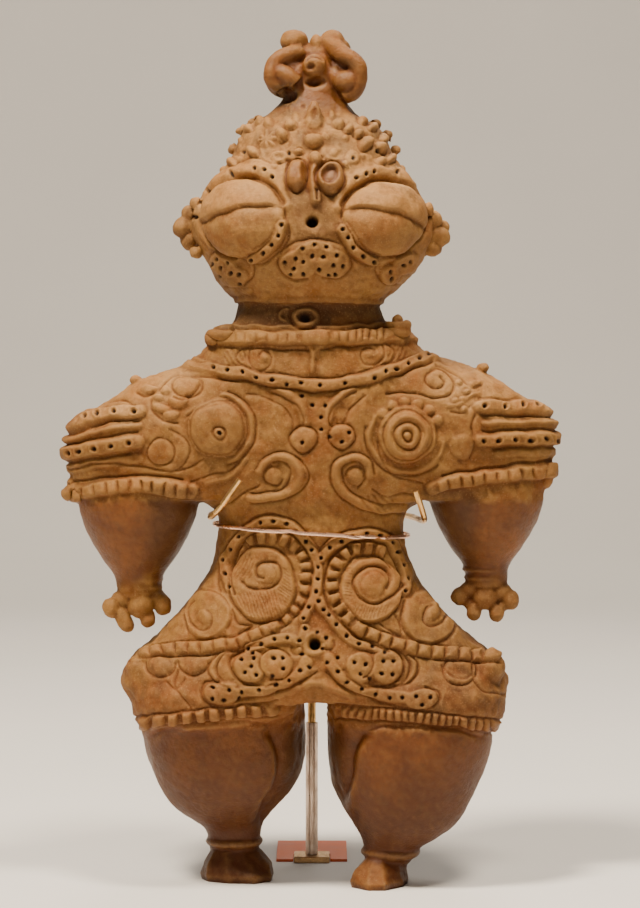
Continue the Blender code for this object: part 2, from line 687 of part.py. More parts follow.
def make_waist_wire(solid, surface):
    """A wire drawn tight round the waist and the rod behind it."""
    reach = WAIST_WIRE_DIAMETER / 2 + WIRE_GAP
    outline = []
    for angle in np.linspace(0, 2 * np.pi, 96, endpoint=False):
        out = Vector((np.cos(angle), np.sin(angle), 0))
        start = out * WAIST_SEARCH_RADIUS
        start.z = waist_height(start.x)
        hit, _, _, _ = solid.ray_cast(start, -out)
        if hit is not None:
            outline.append((hit.x + out.x * reach, hit.y + out.y * reach))
    round_rod = ROD_DIAMETER / 2 + reach
    for angle in np.linspace(0, 2 * np.pi, 24, endpoint=False):
        outline.append((POST_X + round_rod * np.cos(angle), POST_Y + round_rod * np.sin(angle)))
    loop = evenly_spaced(outline_hull(outline), 4.4 * MM)
    path = [(x, y, waist_height(x)) for x, y in loop]
    path = bend_to_surface(solid, path, reach)
    return closed_tube("waist_wire", path, WAIST_WIRE_DIAMETER, surface)


def cylinder(form, radius, low, high, x=0.0, y=0.0, sides=POST_SIDES):
    angle = np.linspace(0, 2 * np.pi, sides, endpoint=False)
    for_height = [np.column_stack([x + radius * np.cos(angle), y + radius * np.sin(angle), np.full(sides, z)])
                  for z in (low, high)]
    loft(form, for_height)


def cradle_height(x):
    return (CRADLE_HEIGHT + CRADLE_TILT * x) * MM


def make_rod(solid, surface):
    """The rod in the tube, and the bent wire brazed across it, whose hooks hold the figure under its arms."""
    gap = CRADLE_DIAMETER / 2 + WIRE_GAP
    across = POST_Y - ROD_DIAMETER / 2 - CRADLE_DIAMETER * 0.2
    left = [(-29.5, -30, 17.4), (-33, -29, 12.4), (-38, -26, 5.3), (-41.8, -20, 1.3), (-42.2, -8, 0.7),
            (-42, 8, 0.5)]
    right = [(43, -27, 13.3), (44.6, -26, 8.3), (46.4, -22, 2.4), (46.4, -14, 0.2), (44, 2, 0.1), (42, 12, 0.1)]
    hooks = []
    for points in (left, right):
        points = [(x * MM, y * MM, cradle_height(x) + above * MM) for x, y, above in points]
        hooks.append(bend_to_surface(solid, points, gap))
    back = [(x * MM, across - inset * MM, cradle_height(x))
            for x, inset in ((-33, 6), (-20, 0), (0, 0), (20, 0), (34, 6))]
    path = smooth_path(hooks[0] + back + hooks[1][::-1], 60)
    path = bend_to_surface(solid, path, gap)
    form = bmesh.new()
    loft(form, tube_rings(path, CRADLE_DIAMETER / 2, WIRE_SIDES))
    wire = add_object("cradle_wire", mesh_from(form, "cradle_wire"), surface)
    wire.hide_render = True
    wire.display_type = "WIRE"
    form = bmesh.new()
    low = FOOT_BAR_HEIGHT + CLEARANCE + TUBE_FLOOR + CLEARANCE
    cylinder(form, ROD_DIAMETER / 2, low, cradle_height(0) + ROD_TOP_ABOVE_CRADLE, POST_X, POST_Y)
    rod = add_object("stand_rod_and_cradle", mesh_from(form, "stand_rod_and_cradle"), surface, smooth_angle=0.7)
    join = rod.modifiers.new("Braze", "BOOLEAN")
    join.operation = "UNION"
    join.object = wire
    return rod


def make_tube(surface):
    """The lower tube: open at the top, closed by a floor that the rod stands on."""
    low = FOOT_BAR_HEIGHT + CLEARANCE
    high = low + TUBE_LENGTH
    outer, bore = TUBE_OUTER_DIAMETER / 2, TUBE_OUTER_DIAMETER / 2 - TUBE_WALL
    angle = np.linspace(0, 2 * np.pi, POST_SIDES, endpoint=False)
    rings = []
    for radius, height in ((outer, low), (outer, high), (bore, high), (bore, low + TUBE_FLOOR)):
        rings.append(np.column_stack([POST_X + radius * np.cos(angle), POST_Y + radius * np.sin(angle),
                                      np.full(POST_SIDES, height)]))
    form = bmesh.new()
    loft(form, rings)
    return add_object("stand_tube", mesh_from(form, "stand_tube"), surface, smooth_angle=0.7)


def prism(name, outline, low, high, surface):
    """A flat piece cut to an outline."""
    form = bmesh.new()
    loft(form, [[(x, y, height) for x, y in outline] for height in (low, high)])
    return add_object(name, mesh_from(form, name), surface)


def make_foot_bar(surface):
    half = FOOT_BAR_WIDTH / 2
    front = POST_Y - FOOT_BAR_DEPTH / 2
    back = POST_Y + FOOT_BAR_DEPTH / 2
    outline = [(POST_X - half, front), (POST_X + half, front), (POST_X + half, back), (POST_X - half, back)]
    obj = prism("stand_foot_bar", outline, 0.0, FOOT_BAR_HEIGHT, surface)
    bevel = obj.modifiers.new("Eased", "BEVEL")
    bevel.width = FOOT_BAR_HEIGHT / 8
    bevel.segments = 1
    return obj


def make_base_plate(surface):
    """A thin plate behind the foot bar, notched round it."""
    half = BASE_PLATE_WIDTH / 2
    slot = FOOT_BAR_WIDTH / 2 + CLEARANCE
    inner = POST_Y + FOOT_BAR_DEPTH / 2 + CLEARANCE
    front, back = inner - PLATE_NOTCH_DEPTH, inner - PLATE_NOTCH_DEPTH + BASE_PLATE_DEPTH
    outline = [(-half, front), (-slot, front), (-slot, inner), (slot, inner), (slot, front), (half, front),
               (half, back), (-half, back)]
    outline = [(POST_X + x, y) for x, y in outline]
    return prism("stand_base_plate", outline, 0.0, BASE_PLATE_THICKNESS, surface)


def centre_on_floor(objects):
    """Places all pieces so that the origin is on the floor, midway across the whole width and depth."""
    depsgraph = bpy.context.evaluated_depsgraph_get()
    depsgraph.update()
    corners = []
    for obj in objects:
        mesh = obj.evaluated_get(depsgraph).data
        points = np.zeros(len(mesh.vertices) * 3)
        mesh.vertices.foreach_get("co", points)
        points = points.reshape(-1, 3)
        corners += [points.min(0), points.max(0)]
    middle = (np.min(corners, 0) + np.max(corners, 0)) / 2
    frame = bpy.data.objects.new("dogu_and_stand", None)
    bpy.context.scene.collection.objects.link(frame)
    frame.location = (-middle[0], -middle[1], 0)
    for obj in bpy.data.objects:
        if obj is not frame:
            obj.parent = frame


def main():
    clear_scene()
    clay = material("fired_clay", (0.30, 0.17, 0.08), 0.72)
    brass = material("stand_brass", (0.70, 0.45, 0.20), 0.32, 1.0)
    tube_metal = material("tube_metal", (0.66, 0.48, 0.36), 0.35, 1.0)
    copper = material("waist_copper", (0.72, 0.42, 0.28), 0.3, 1.0)
    paint = material("plate_paint", (0.75, 0.22, 0.07), 0.8)
    figure = make_figure(clay)
    depsgraph = bpy.context.evaluated_depsgraph_get()
    depsgraph.update()
    solid = BVHTree.FromObject(figure, depsgraph)
    pieces = [
        figure,
        make_rod(solid, brass),
        make_tube(tube_metal),
        make_waist_wire(solid, copper),
        make_foot_bar(brass),
        make_base_plate(paint),
    ]
    centre_on_floor(pieces)


main()
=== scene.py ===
"""Looks of a dogu figurine: a fired-clay figure with goggle eyes, on its stand of brass and copper wire.

The clay is modelled again here from the same forms as its solid, at a finer grain and with the whole of
its carving, and that piece replaces the solid. Its forms are written in design millimetres: the figure is
361 tall, stands at z = 0, faces -Y, and x = 0 runs through its mouth and navel. The frame says how large
and where it is in metres. The stand keeps its solids and gets its own materials.
"""

import bmesh
import bpy
import numpy as np
from mathutils import Euler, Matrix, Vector
from mathutils.kdtree import KDTree

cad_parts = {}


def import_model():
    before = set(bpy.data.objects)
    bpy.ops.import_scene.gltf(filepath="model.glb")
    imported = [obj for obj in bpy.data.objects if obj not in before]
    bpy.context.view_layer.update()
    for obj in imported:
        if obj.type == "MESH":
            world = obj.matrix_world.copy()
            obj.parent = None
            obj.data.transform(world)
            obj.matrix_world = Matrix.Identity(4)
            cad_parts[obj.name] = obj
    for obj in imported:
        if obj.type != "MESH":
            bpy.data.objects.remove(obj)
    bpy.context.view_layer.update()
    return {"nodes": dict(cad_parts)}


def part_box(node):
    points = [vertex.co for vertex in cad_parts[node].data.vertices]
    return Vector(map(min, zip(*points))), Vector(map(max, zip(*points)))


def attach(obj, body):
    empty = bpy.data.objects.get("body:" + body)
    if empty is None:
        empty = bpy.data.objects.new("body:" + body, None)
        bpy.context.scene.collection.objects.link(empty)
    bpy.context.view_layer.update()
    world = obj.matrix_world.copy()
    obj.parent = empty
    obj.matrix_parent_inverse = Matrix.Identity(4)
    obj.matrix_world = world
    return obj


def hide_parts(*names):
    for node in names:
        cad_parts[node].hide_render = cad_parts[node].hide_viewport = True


# Design millimetres
DESIGN_HEIGHT = 361.0
POST = np.array([-0.2, 44.6])
BROAD_VOXEL = 0.9
BROAD_PASSES = 17
FINE_VOXEL = 0.52
FINE_PASSES = 3
CLAY_TRIANGLES = 196000
RING_SIDES = 56
TUBE_SIDES = 14
SOLE_TOLERANCE = 0.15
PIT_RADIUS = 0.86
PIT_DEPTH = 1.7

# The hand's unsteadiness in the carving, and where a surface turns too far aside to be carved
WOBBLE = 0.22
WOBBLE_LENGTH = 9
EDGE_ON = 0.06
FULLY_FACING = 0.28

# Relief of the bare clay: amplitude, wavelength and seed of each layer
COARSE_RELIEF = [(0.22, 16, 1), (0.14, 6, 2), (0.06, 2.4, 3)]
RUBBED_RELIEF = 0.6

# Camera, in design millimetres and degrees
EYE_POINT = (3.4, -1200.0, 240.0)
TILT_DOWN = 2.815
SENSOR_HEIGHT = 24.0
LENS = 75.4

# The drawing the carving is laid out on: its scale as a distance, and its zero
SKETCH_DISTANCE = 1186.4
SKETCH_ZERO = (3.33, 180.93)

# Body forms: height, reach to the left, to the right, to the front and to the back
TRUNK = [
    (79.3, 77.3, 79.3, 32, 29),
    (82.3, 79.8, 82.3, 34, 31),
    (86.3, 80.8, 82.8, 35.5, 31.5),
    (94.3, 77.3, 78.3, 35, 30.5),
    (104.2, 66.3, 66.9, 32.5, 28.5),
    (114.2, 56.4, 56.4, 30, 26),
    (124.1, 48.5, 47.5, 27, 24),
    (134, 42.7, 41.8, 24.5, 22),
    (143.6, 39.8, 39.4, 23, 20.5),
    (156.4, 39.8, 39.4, 23.5, 20.5),
    (162.6, 47.6, 46.6, 25.5, 22),
    (181.4, 59.2, 59.3, 28, 25),
    (206.3, 59.1, 59.2, 28, 26),
    (223, 46.3, 47.3, 26.5, 25),
    (230.4, 41.8, 40.4, 26, 25),
    (235.8, 33.6, 31.6, 24, 23),
    (243, 30.6, 28.6, 22, 21),
    (248.6, 29.4, 27.6, 21, 20),
]
SHOULDERS = [
    (162.3, 96.3, 94.4, 20, 20),
    (164.8, 99.3, 97.3, 23, 22.5),
    (173.7, 102.7, 100.3, 25, 24),
    (185.5, 104.1, 102.2, 26.5, 25),
    (192.4, 101.6, 102.7, 26.5, 25),
    (198.4, 93.7, 99.7, 26.5, 25),
    (205.3, 82.8, 88.8, 26, 25),
    (212.2, 72.4, 78.9, 25, 24),
    (217.1, 58.1, 68.1, 23.5, 23),
    (222, 48.3, 53.3, 22, 22),
    (227, 39.4, 40.4, 20, 20),
]
HEAD = [
    (242.7, 28.4, 26.8, 21, 20),
    (246, 31.8, 30.4, 24.6, 22.6),
    (249, 35.6, 34.4, 27.6, 25.2),
    (252.6, 38.6, 38.6, 30.4, 27.2),
    (257.5, 41.7, 43.3, 33, 29),
    (264.3, 45.2, 47.7, 35, 31),
    (272.2, 49.5, 50.2, 35.5, 32),
    (281, 49.5, 49.6, 35, 32),
    (287.9, 46.9, 46.4, 33.5, 31),
    (294.7, 42.8, 42.7, 31.5, 30),
    (301.6, 35.9, 37, 29, 28),
    (308.4, 31.6, 32.7, 26, 25.5),
    (314.6, 29.2, 30.5, 23, 23),
    (318.6, 26, 26.4, 20, 20),
    (323, 18.6, 19.4, 15.5, 15.5),
    (328, 13.4, 15, 12.5, 12.5),
    (333, 10, 11.8, 10.5, 10.5),
]
BODY_POWER = 2.45
SHOULDER_POWER = 2.7
HEAD_POWER = 2.2

# Forearms: height and half-width at each station
FOREARM = [(120, 9.1), (127.1, 9.5), (131.1, 11.1), (136, 14.8), (142, 18.6), (147.9, 21.7), (153.7, 23.9),
           (159.4, 25.1), (167.2, 24.7), (175.4, 20.7)]
LEFT_ARM = {
    "x": -73.2, "rise": 0.0, "scale": 1.0, "wrist": (-72.6, 124.9),
    "lumps": [((-73.2, 0.5, 118.8), (9.6, 6, 5.2)), ((-84, -2.6, 116.4), (4.2, 4.8, 4.2)),
              ((-79.6, -1.5, 119.6), (5, 5, 4.4)), ((-62.8, -2.6, 117.6), (3.7, 4.6, 4.4)),
              ((-66.4, -1.5, 120.4), (4.4, 5, 4)), ((-72, -4.8, 117.6), (5.4, 4.2, 5.4))],
    "fingers": [((-80.8, -3.4, 115.6), (-78.2, -4.4, 109.4)), ((-69.6, -4, 114), (-69, -4.8, 111.3))],
}
RIGHT_ARM = {
    "x": 73.5, "rise": 4.6, "scale": 0.97, "wrist": (72.8, 129),
    "lumps": [((73, 0.5, 122.6), (9.6, 6, 5.2)), ((62.4, -2.6, 121), (4.2, 4.8, 4.4)),
              ((66.4, -1.5, 124), (4.6, 5, 4)), ((83.6, -2.6, 119.5), (4.2, 4.8, 4.4)),
              ((66, -3.4, 117.9), (2.6, 3, 2.6)), ((80.2, -3.4, 117.4), (2.8, 3, 2.6)),
              ((79.6, -1.5, 123), (4.8, 5, 4)), ((73, -4.6, 120.8), (5.2, 4, 5))],
    "fingers": [((68.4, -4, 117.6), (67.9, -4.8, 114.4)), ((77.4, -4, 117), (77.8, -4.8, 113.8))],
}
FINGER = 3.2

# Legs: height, X of the middle, half-width and Y of the middle at each station, then the ankle's ring as a
# centre and radii, and the foot as levels of nine corners from the ankle's middle
LEFT_LEG = {
    "stations": [(8, -33.2, 8, 7), (13, -33.2, 10.6, 6.8), (20.6, -33.4, 11.8, 6.2), (24.4, -35, 14.4, 5.6),
                 (29.2, -36.8, 20, 5), (34.9, -36.6, 25.3, 4.4), (41, -36.2, 29, 3.7), (46.5, -36, 31.6, 3.5),
                 (53.4, -36.6, 33.6, 3.5), (58.9, -37, 34.2, 3.5), (68, -38, 35, 3.5), (82, -38.6, 34, 3.5)],
    "ring": ((-33.2, 6.6, 15.8), (12.3, 11.8, 3.8)),
    "foot": [
        (-3, [(15.6, -3), (15, -9.6), (8.4, -14.2), (-2, -14), (-10.6, -9.6), (-13.2, -3), (-9.8, 7.4),
              (0, 11), (10, 7)]),
        (2.5, [(16.9, -3.5), (16.2, -10.5), (9, -15.6), (-2, -15), (-11.5, -10.5), (-14.3, -3), (-10.5, 8),
               (0, 12), (11, 8)]),
        (7, [(16.2, -2.5), (15, -8.4), (7, -12), (-3, -12.8), (-11, -8.8), (-12.8, -2), (-10, 7.5), (0, 11),
             (10.5, 7.5)]),
        (12.4, [(11.6, -1), (10, -5), (4, -9), (-3, -9.8), (-8.4, -7), (-9.8, -1), (-8, 6), (0, 9), (8, 6)]),
    ],
}
RIGHT_LEG = {
    "stations": [(6, 31, 7, -6), (11, 33, 10, -6), (15.8, 34, 12.2, -6), (19.5, 36.8, 15.9, -5.6),
                 (24.6, 39, 21, -5), (30.2, 39.4, 25, -4.2), (35.6, 39.4, 28, -3.6), (41.6, 39.4, 30.6, -3.2),
                 (47, 40, 32.4, -3), (54.2, 40.8, 34.1, -3), (58, 41.2, 34.6, -3), (68, 41.6, 35, -3),
                 (82, 41.8, 34, -3)],
    "ring": ((33.2, -6, 13.6), (12.6, 12, 4.4)),
    "foot": [
        (-3, [(6.6, -1), (4, -8.4), (-3, -16), (-9.6, -16), (-16, -9.4), (-13.8, -1), (-8.4, 7.4), (0, 10.4),
              (6.4, 7.4)]),
        (2.5, [(7.4, -1), (5, -9), (-2.5, -17.5), (-10, -17.6), (-17.4, -10), (-15, -1), (-9, 8), (0, 11.5),
               (7, 8)]),
        (6.4, [(6.6, -1), (3.4, -8.6), (-3.4, -15.4), (-9.6, -15), (-16, -9), (-13.8, -1), (-8.6, 7.6),
               (0, 11), (6.8, 7.6)]),
        (12, [(7.4, -1), (3.4, -6.8), (-4, -10.2), (-7, -10), (-10, -7.4), (-10, -1), (-8, 6), (0, 9),
              (7.4, 6)]),
    ],
}
ARM_DEPTH_SHARE = 0.86
LEG_DEPTH_SHARE = 0.9

# Hem of the hips round each thigh: height at the middle, half-width and depth
HEM = [(68.8, 33.4, 30), (71.2, 34.8, 31.5), (76, 36.4, 34), (84, 37.4, 34), (92, 33, 30)]
LEFT_HEM = {"x": -39.2, "y": 0.0, "slope": 0.07, "scale": 1.0}
RIGHT_HEM = {"x": 43.2, "y": -1.5, "slope": -0.08, "scale": 1.04}
HIP_LUMPS = [((73.8, -13, 92.4), (7.4, 10, 6.6)), ((-71.8, -9, 91.6), (6.6, 10, 5.6))]


# Forms

def section(height, left, right, front, back, power, centre=(0.0, 0.0)):
    """One ring of a lofted form: a superellipse with its own reach to each of the four sides."""
    angle = np.linspace(0, 2 * np.pi, RING_SIDES, endpoint=False)
    across = np.sign(np.cos(angle)) * np.abs(np.cos(angle)) ** (2 / power)
    along = np.sign(np.sin(angle)) * np.abs(np.sin(angle)) ** (2 / power)
    x = centre[0] + across * np.where(across > 0, right, left)
    y = centre[1] + along * np.where(along > 0, back, front)
    return np.column_stack([x, y, np.full(RING_SIDES, float(height))])


def loft(form, rings):
    """Joins rings of equal length into one closed shell."""
    loops = [[form.verts.new(point) for point in ring] for ring in rings]
    for lower, upper in zip(loops[:-1], loops[1:]):
        for i, vertex in enumerate(lower):
            j = (i + 1) % len(lower)
            form.faces.new((vertex, lower[j], upper[j], upper[i]))
    form.faces.new(list(reversed(loops[0])))
    form.faces.new(loops[-1])


def tube_rings(path, radii):
    """Rings square to a path, turned as little as possible from one to the next."""
    path = np.asarray(path, float)
    radii = np.broadcast_to(np.asarray(radii, float), len(path))
    tangents = np.gradient(path, axis=0)
    tangents /= np.linalg.norm(tangents, axis=1)[:, None]
    helper = np.array([0.0, 0.0, 1.0]) if abs(tangents[0][2]) < 0.9 else np.array([1.0, 0.0, 0.0])
    side = np.cross(tangents[0], helper)
    angle = np.linspace(0, 2 * np.pi, TUBE_SIDES, endpoint=False)
    rings = []
    for point, tangent, radius in zip(path, tangents, radii):
        side = side - tangent * (side @ tangent)
        side /= np.linalg.norm(side)
        up = np.cross(tangent, side)
        rings.append(point + radius * (np.outer(np.cos(angle), side) + np.outer(np.sin(angle), up)))
    return rings


def ball(form, centre, radii):
    """An ellipsoid, as a stack of rings."""
    steps = np.sin(np.radians(np.linspace(-84, 84, 15)))
    rings = []
    for step in steps:
        size = np.sqrt(1 - step * step)
        rings.append(section(centre[2] + radii[2] * step, radii[0] * size, radii[0] * size,
                             radii[1] * size, radii[1] * size, 2.0, centre[:2]))
    loft(form, rings)


def smooth_path(points, count=24):
    """A Catmull-Rom curve through a few points."""
    points = np.asarray(points, float)
    padded = np.vstack([2 * points[0] - points[1], points, 2 * points[-1] - points[-2]])
    path = []
    for t in np.linspace(0, len(points) - 1, count):
        i = min(int(t), len(points) - 2)
        u = t - i
        p0, p1, p2, p3 = padded[i:i + 4]
        path.append(0.5 * (2 * p1 + (p2 - p0) * u + (2 * p0 - 5 * p1 + 4 * p2 - p3) * u * u
                           + (3 * p1 - p0 - 3 * p2 + p3) * u ** 3))
    return np.array(path)


def roll(form, points, start, end, count=28):
    """A roll of clay through a few points, whose thickness runs from start to end."""
    loft(form, tube_rings(smooth_path(points, count), np.linspace(start, end, count)))


def body_forms():
    """Trunk, shoulders and head, with the forearms and legs that hang and stand from them."""
    form = bmesh.new()
    for stations, power in ((TRUNK, BODY_POWER), (SHOULDERS, SHOULDER_POWER), (HEAD, HEAD_POWER)):
        loft(form, [section(*station, power) for station in smooth_path(stations, 72)])
    for arm in (LEFT_ARM, RIGHT_ARM):
        rings = []
        for height, half in smooth_path(FOREARM, 48):
            half *= arm["scale"]
            deep = half * ARM_DEPTH_SHARE
            rings.append(section(height + arm["rise"], half, half, deep, deep, 2.0, (arm["x"], 0)))
        loft(form, rings)
    for leg in (LEFT_LEG, RIGHT_LEG):
        rings = []
        for height, x, half, y in smooth_path(leg["stations"], 56):
            deep = half * LEG_DEPTH_SHARE
            rings.append(section(height, half, half, deep, deep, 2.15, (x, y)))
        loft(form, rings)
    for hem in (LEFT_HEM, RIGHT_HEM):
        rings = []
        for height, half, deep in HEM:
            half *= hem["scale"]
            ring = section(height, half, half, deep, deep, 2.5, (hem["x"], hem["y"]))
            ring[:, 2] += (ring[:, 0] - hem["x"]) * hem["slope"]
            rings.append(ring)
        loft(form, rings)
    for centre, radii in HIP_LUMPS:
        ball(form, centre, radii)
    return form


def hand(form, arm):
    """A stub of a hand: two wrist rings, a palm with a pad and a knob at each side, and two short fingers."""
    x, z = arm["wrist"]
    for rise, wide in ((3.3, 9.6), (-0.2, 9.1)):
        ball(form, (x, 0, z + rise), (wide, wide * 0.9, 2.1))
    for centre, radii in arm["lumps"]:
        ball(form, centre, radii)
    for root, tip in arm["fingers"]:
        loft(form, tube_rings([root, tip], FINGER))
        ball(form, tip, (FINGER, FINGER, FINGER))


def foot(form, leg):
    """The ring round an ankle and a blunt, faceted wedge of a foot."""
    (x, y, height), radii = leg["ring"]
    ball(form, (x, y, height), radii)
    loft(form, [[(x + across, y + along, level) for across, along in corners] for level,
                corners in leg["foot"]])


def top_knot(form):
    """The crown on the head: a stem with a boss, a curled lobe at each side and two knobs on top."""
    loft(form, [section(z, w, w * 1.08, d, d * 0.9, 2.2, (1.4, -1)) for z, w, d in
                ((316, 21, 16), (321, 17.4, 13.6), (326, 13, 11.4), (331, 10.4, 9.8), (336, 8.6, 9.2),
                 (342, 8, 8.4), (347, 6.6, 7), (350, 4, 5))])
    roll(form, [(-3.6, -5, 349.4), (-9.6, -7.4, 347.6), (-15.2, -8.4, 344.8), (-16.8, -8.8, 340),
                (-15.6, -8.4, 336.2), (-12, -7.8, 334.6), (-8.4, -7, 334.8)], 2.9, 3.8)
    roll(form, [(6.8, -1.6, 354.4), (9.4, -5, 351), (13.4, -7.4, 347.8), (17.4, -8.4, 344.8),
                (19.5, -8.6, 340.8), (19.4, -8.2, 336.4), (17.2, -7.8, 332.4), (13.6, -7, 330.6)], 4.0, 3.6)
    roll(form, [(-14.8, -8.6, 341), (-11, -10, 338.8), (-7.2, -9.4, 335.2)], 3.1, 4.1)
    for centre, radii in (
        ((11.4, -1, 350.4), (5, 5.4, 4.4)), ((-11.2, -4.6, 341.2), (7.8, 4.4, 7.6)),
        ((-9, -4, 334), (6, 5.6, 4.6)), ((-5.2, -5.8, 339.4), (3.2, 3.4, 5.4)),
        ((14.2, -8.2, 336.6), (5.6, 4.8, 4.6)), ((13, -3.6, 339), (7.6, 4.2, 8.2)),
        ((15.6, -5.4, 332.4), (5.4, 5, 4.2)), ((9.8, -6.4, 338), (3, 3.6, 5)),
        ((8.6, -1, 353.4), (5.4, 5.8, 4.9)), ((-7.6, -1, 353.8), (5.9, 5.7, 5)),
        ((1.9, -2.8, 352.2), (2.7, 3.4, 4.3)), ((0.8, 0, 348.6), (9, 7, 4.4)),
        ((0.9, -8.8, 343), (4.8, 4, 4.8)),
    ):
        ball(form, centre, radii)
    for x, start, lean in ((-11.3, 60, 1), (12.8, 120, -1)):
        angle = np.radians(np.linspace(start, start + 330 * lean, 9))
        roll(form, [(x + 6.2 * np.cos(a), 8.0, 339.8 + 6.6 * np.sin(a)) for a in angle], 3.1, 2.6)
        ball(form, (x, 7.4, 339.8), (6, 2.6, 6.4))


def ears(form):
    """Knobs at the sides of the head; the right ear is a broken stump."""
    for x, y, z, size in ((-54, -1, 275.9, 4.4), (-51.1, 0, 281.8, 3.7), (-51.5, -1, 270.6, 3.8),
                          (-48.8, -6, 286.1, 2.2), (-48.6, -7, 265.5, 2.4)):
        ball(form, (x, y, z), (size, size + 0.8, size))
    for x, y, z, size in ((50.7, -2, 279.4, 4.1), (53.3, -2, 272.1, 4.3), (50.7, -2, 267.2, 3.7),
                          (48.5, -8, 283.7, 2.1), (55.2, 2, 276.6, 2.7)):
        ball(form, (x, y, z), (size, size + 1.2, size))


def small_lumps(form):
    """Lumps that stand out at the figure's edges: on the sleeves, the collar, the shoulders and the crown."""
    for centre, radii in (
        ((-100.2, -2, 167.9), (3.7, 7, 4)), ((-97.1, -3, 163.4), (3.8, 7, 3.4)),
        ((-101.3, -5, 165.7), (2.1, 3, 2.2)), ((98.4, -5, 173), (3.5, 6, 6.4)),
        ((-36, -14, 232.2), (6.2, 5, 2.2)), ((-40.3, -12, 229.8), (2.3, 4, 1.8)),
        ((35.5, -14, 234.1), (5.8, 5, 2.5)), ((35.3, -15, 237.6), (2.2, 2.6, 1.9)),
        ((-73.7, -4, 212.3), (2.5, 3, 2)), ((71.8, -4, 217.4), (2.5, 3, 2)),
        ((-33.3, 4, 309.1), (2.1, 2.4, 1.9)), ((-30, 2, 316.6), (2.2, 2.4, 1.9)),
        ((-25, 2, 320.2), (2.4, 2.6, 1.8)), ((31.7, 2, 315), (2.2, 2.4, 1.9)),
        ((35.2, 4, 308.7), (2.1, 2.4, 1.9)), ((26.8, 2, 319.2), (2.3, 2.6, 1.8)),
        ((37.8, 2, 300.3), (2, 2.6, 2)), ((-37, 2, 300.1), (2, 2.6, 2)),
    ):
        ball(form, centre, radii)
    loft(form, [section(z, w, w, d, d, 2, (1.0, y)) for z, w, d, y in
                ((315, 5, 4, -18.6), (319.4, 4.2, 3.6, -18.6), (324, 2.7, 2.4, -18), (327.6, 1.1, 1, -17.4))])


# Carving

def ripple(points, wavelength, seed, waves=18):
    """Smooth random relief of about unit height, the same on each run."""
    dice = np.random.default_rng(seed)
    directions = dice.normal(size=(waves, 3))
    directions /= np.linalg.norm(directions, axis=1)[:, None]
    rates = 2 * np.pi / (wavelength * dice.uniform(0.7, 1.6, waves))
    phases = dice.uniform(0, 2 * np.pi, waves)
    total = np.zeros(len(points))
    for direction, rate, phase in zip(directions, rates, phases):
        total += np.sin(points @ (direction * rate) + phase)
    return total * np.sqrt(2 / waves)


def soft_step(value, low, high):
    share = np.clip((value - low) / (high - low), 0, 1)
    return share * share * (3 - 2 * share)


def sketched(points):
    """Where each point falls on the drawing, which is laid out as the camera sees the figure."""
    tilt = np.radians(TILT_DOWN)
    out, up = np.minimum(points[:, 1], 0) - EYE_POINT[1], points[:, 2] - EYE_POINT[2]
    deep = out * np.cos(tilt) - up * np.sin(tilt)
    rise = out * np.sin(tilt) + up * np.cos(tilt)
    across = points[:, 0] - EYE_POINT[0]
    return SKETCH_ZERO[0] + SKETCH_DISTANCE * across / deep, SKETCH_ZERO[1] + SKETCH_DISTANCE * rise / deep


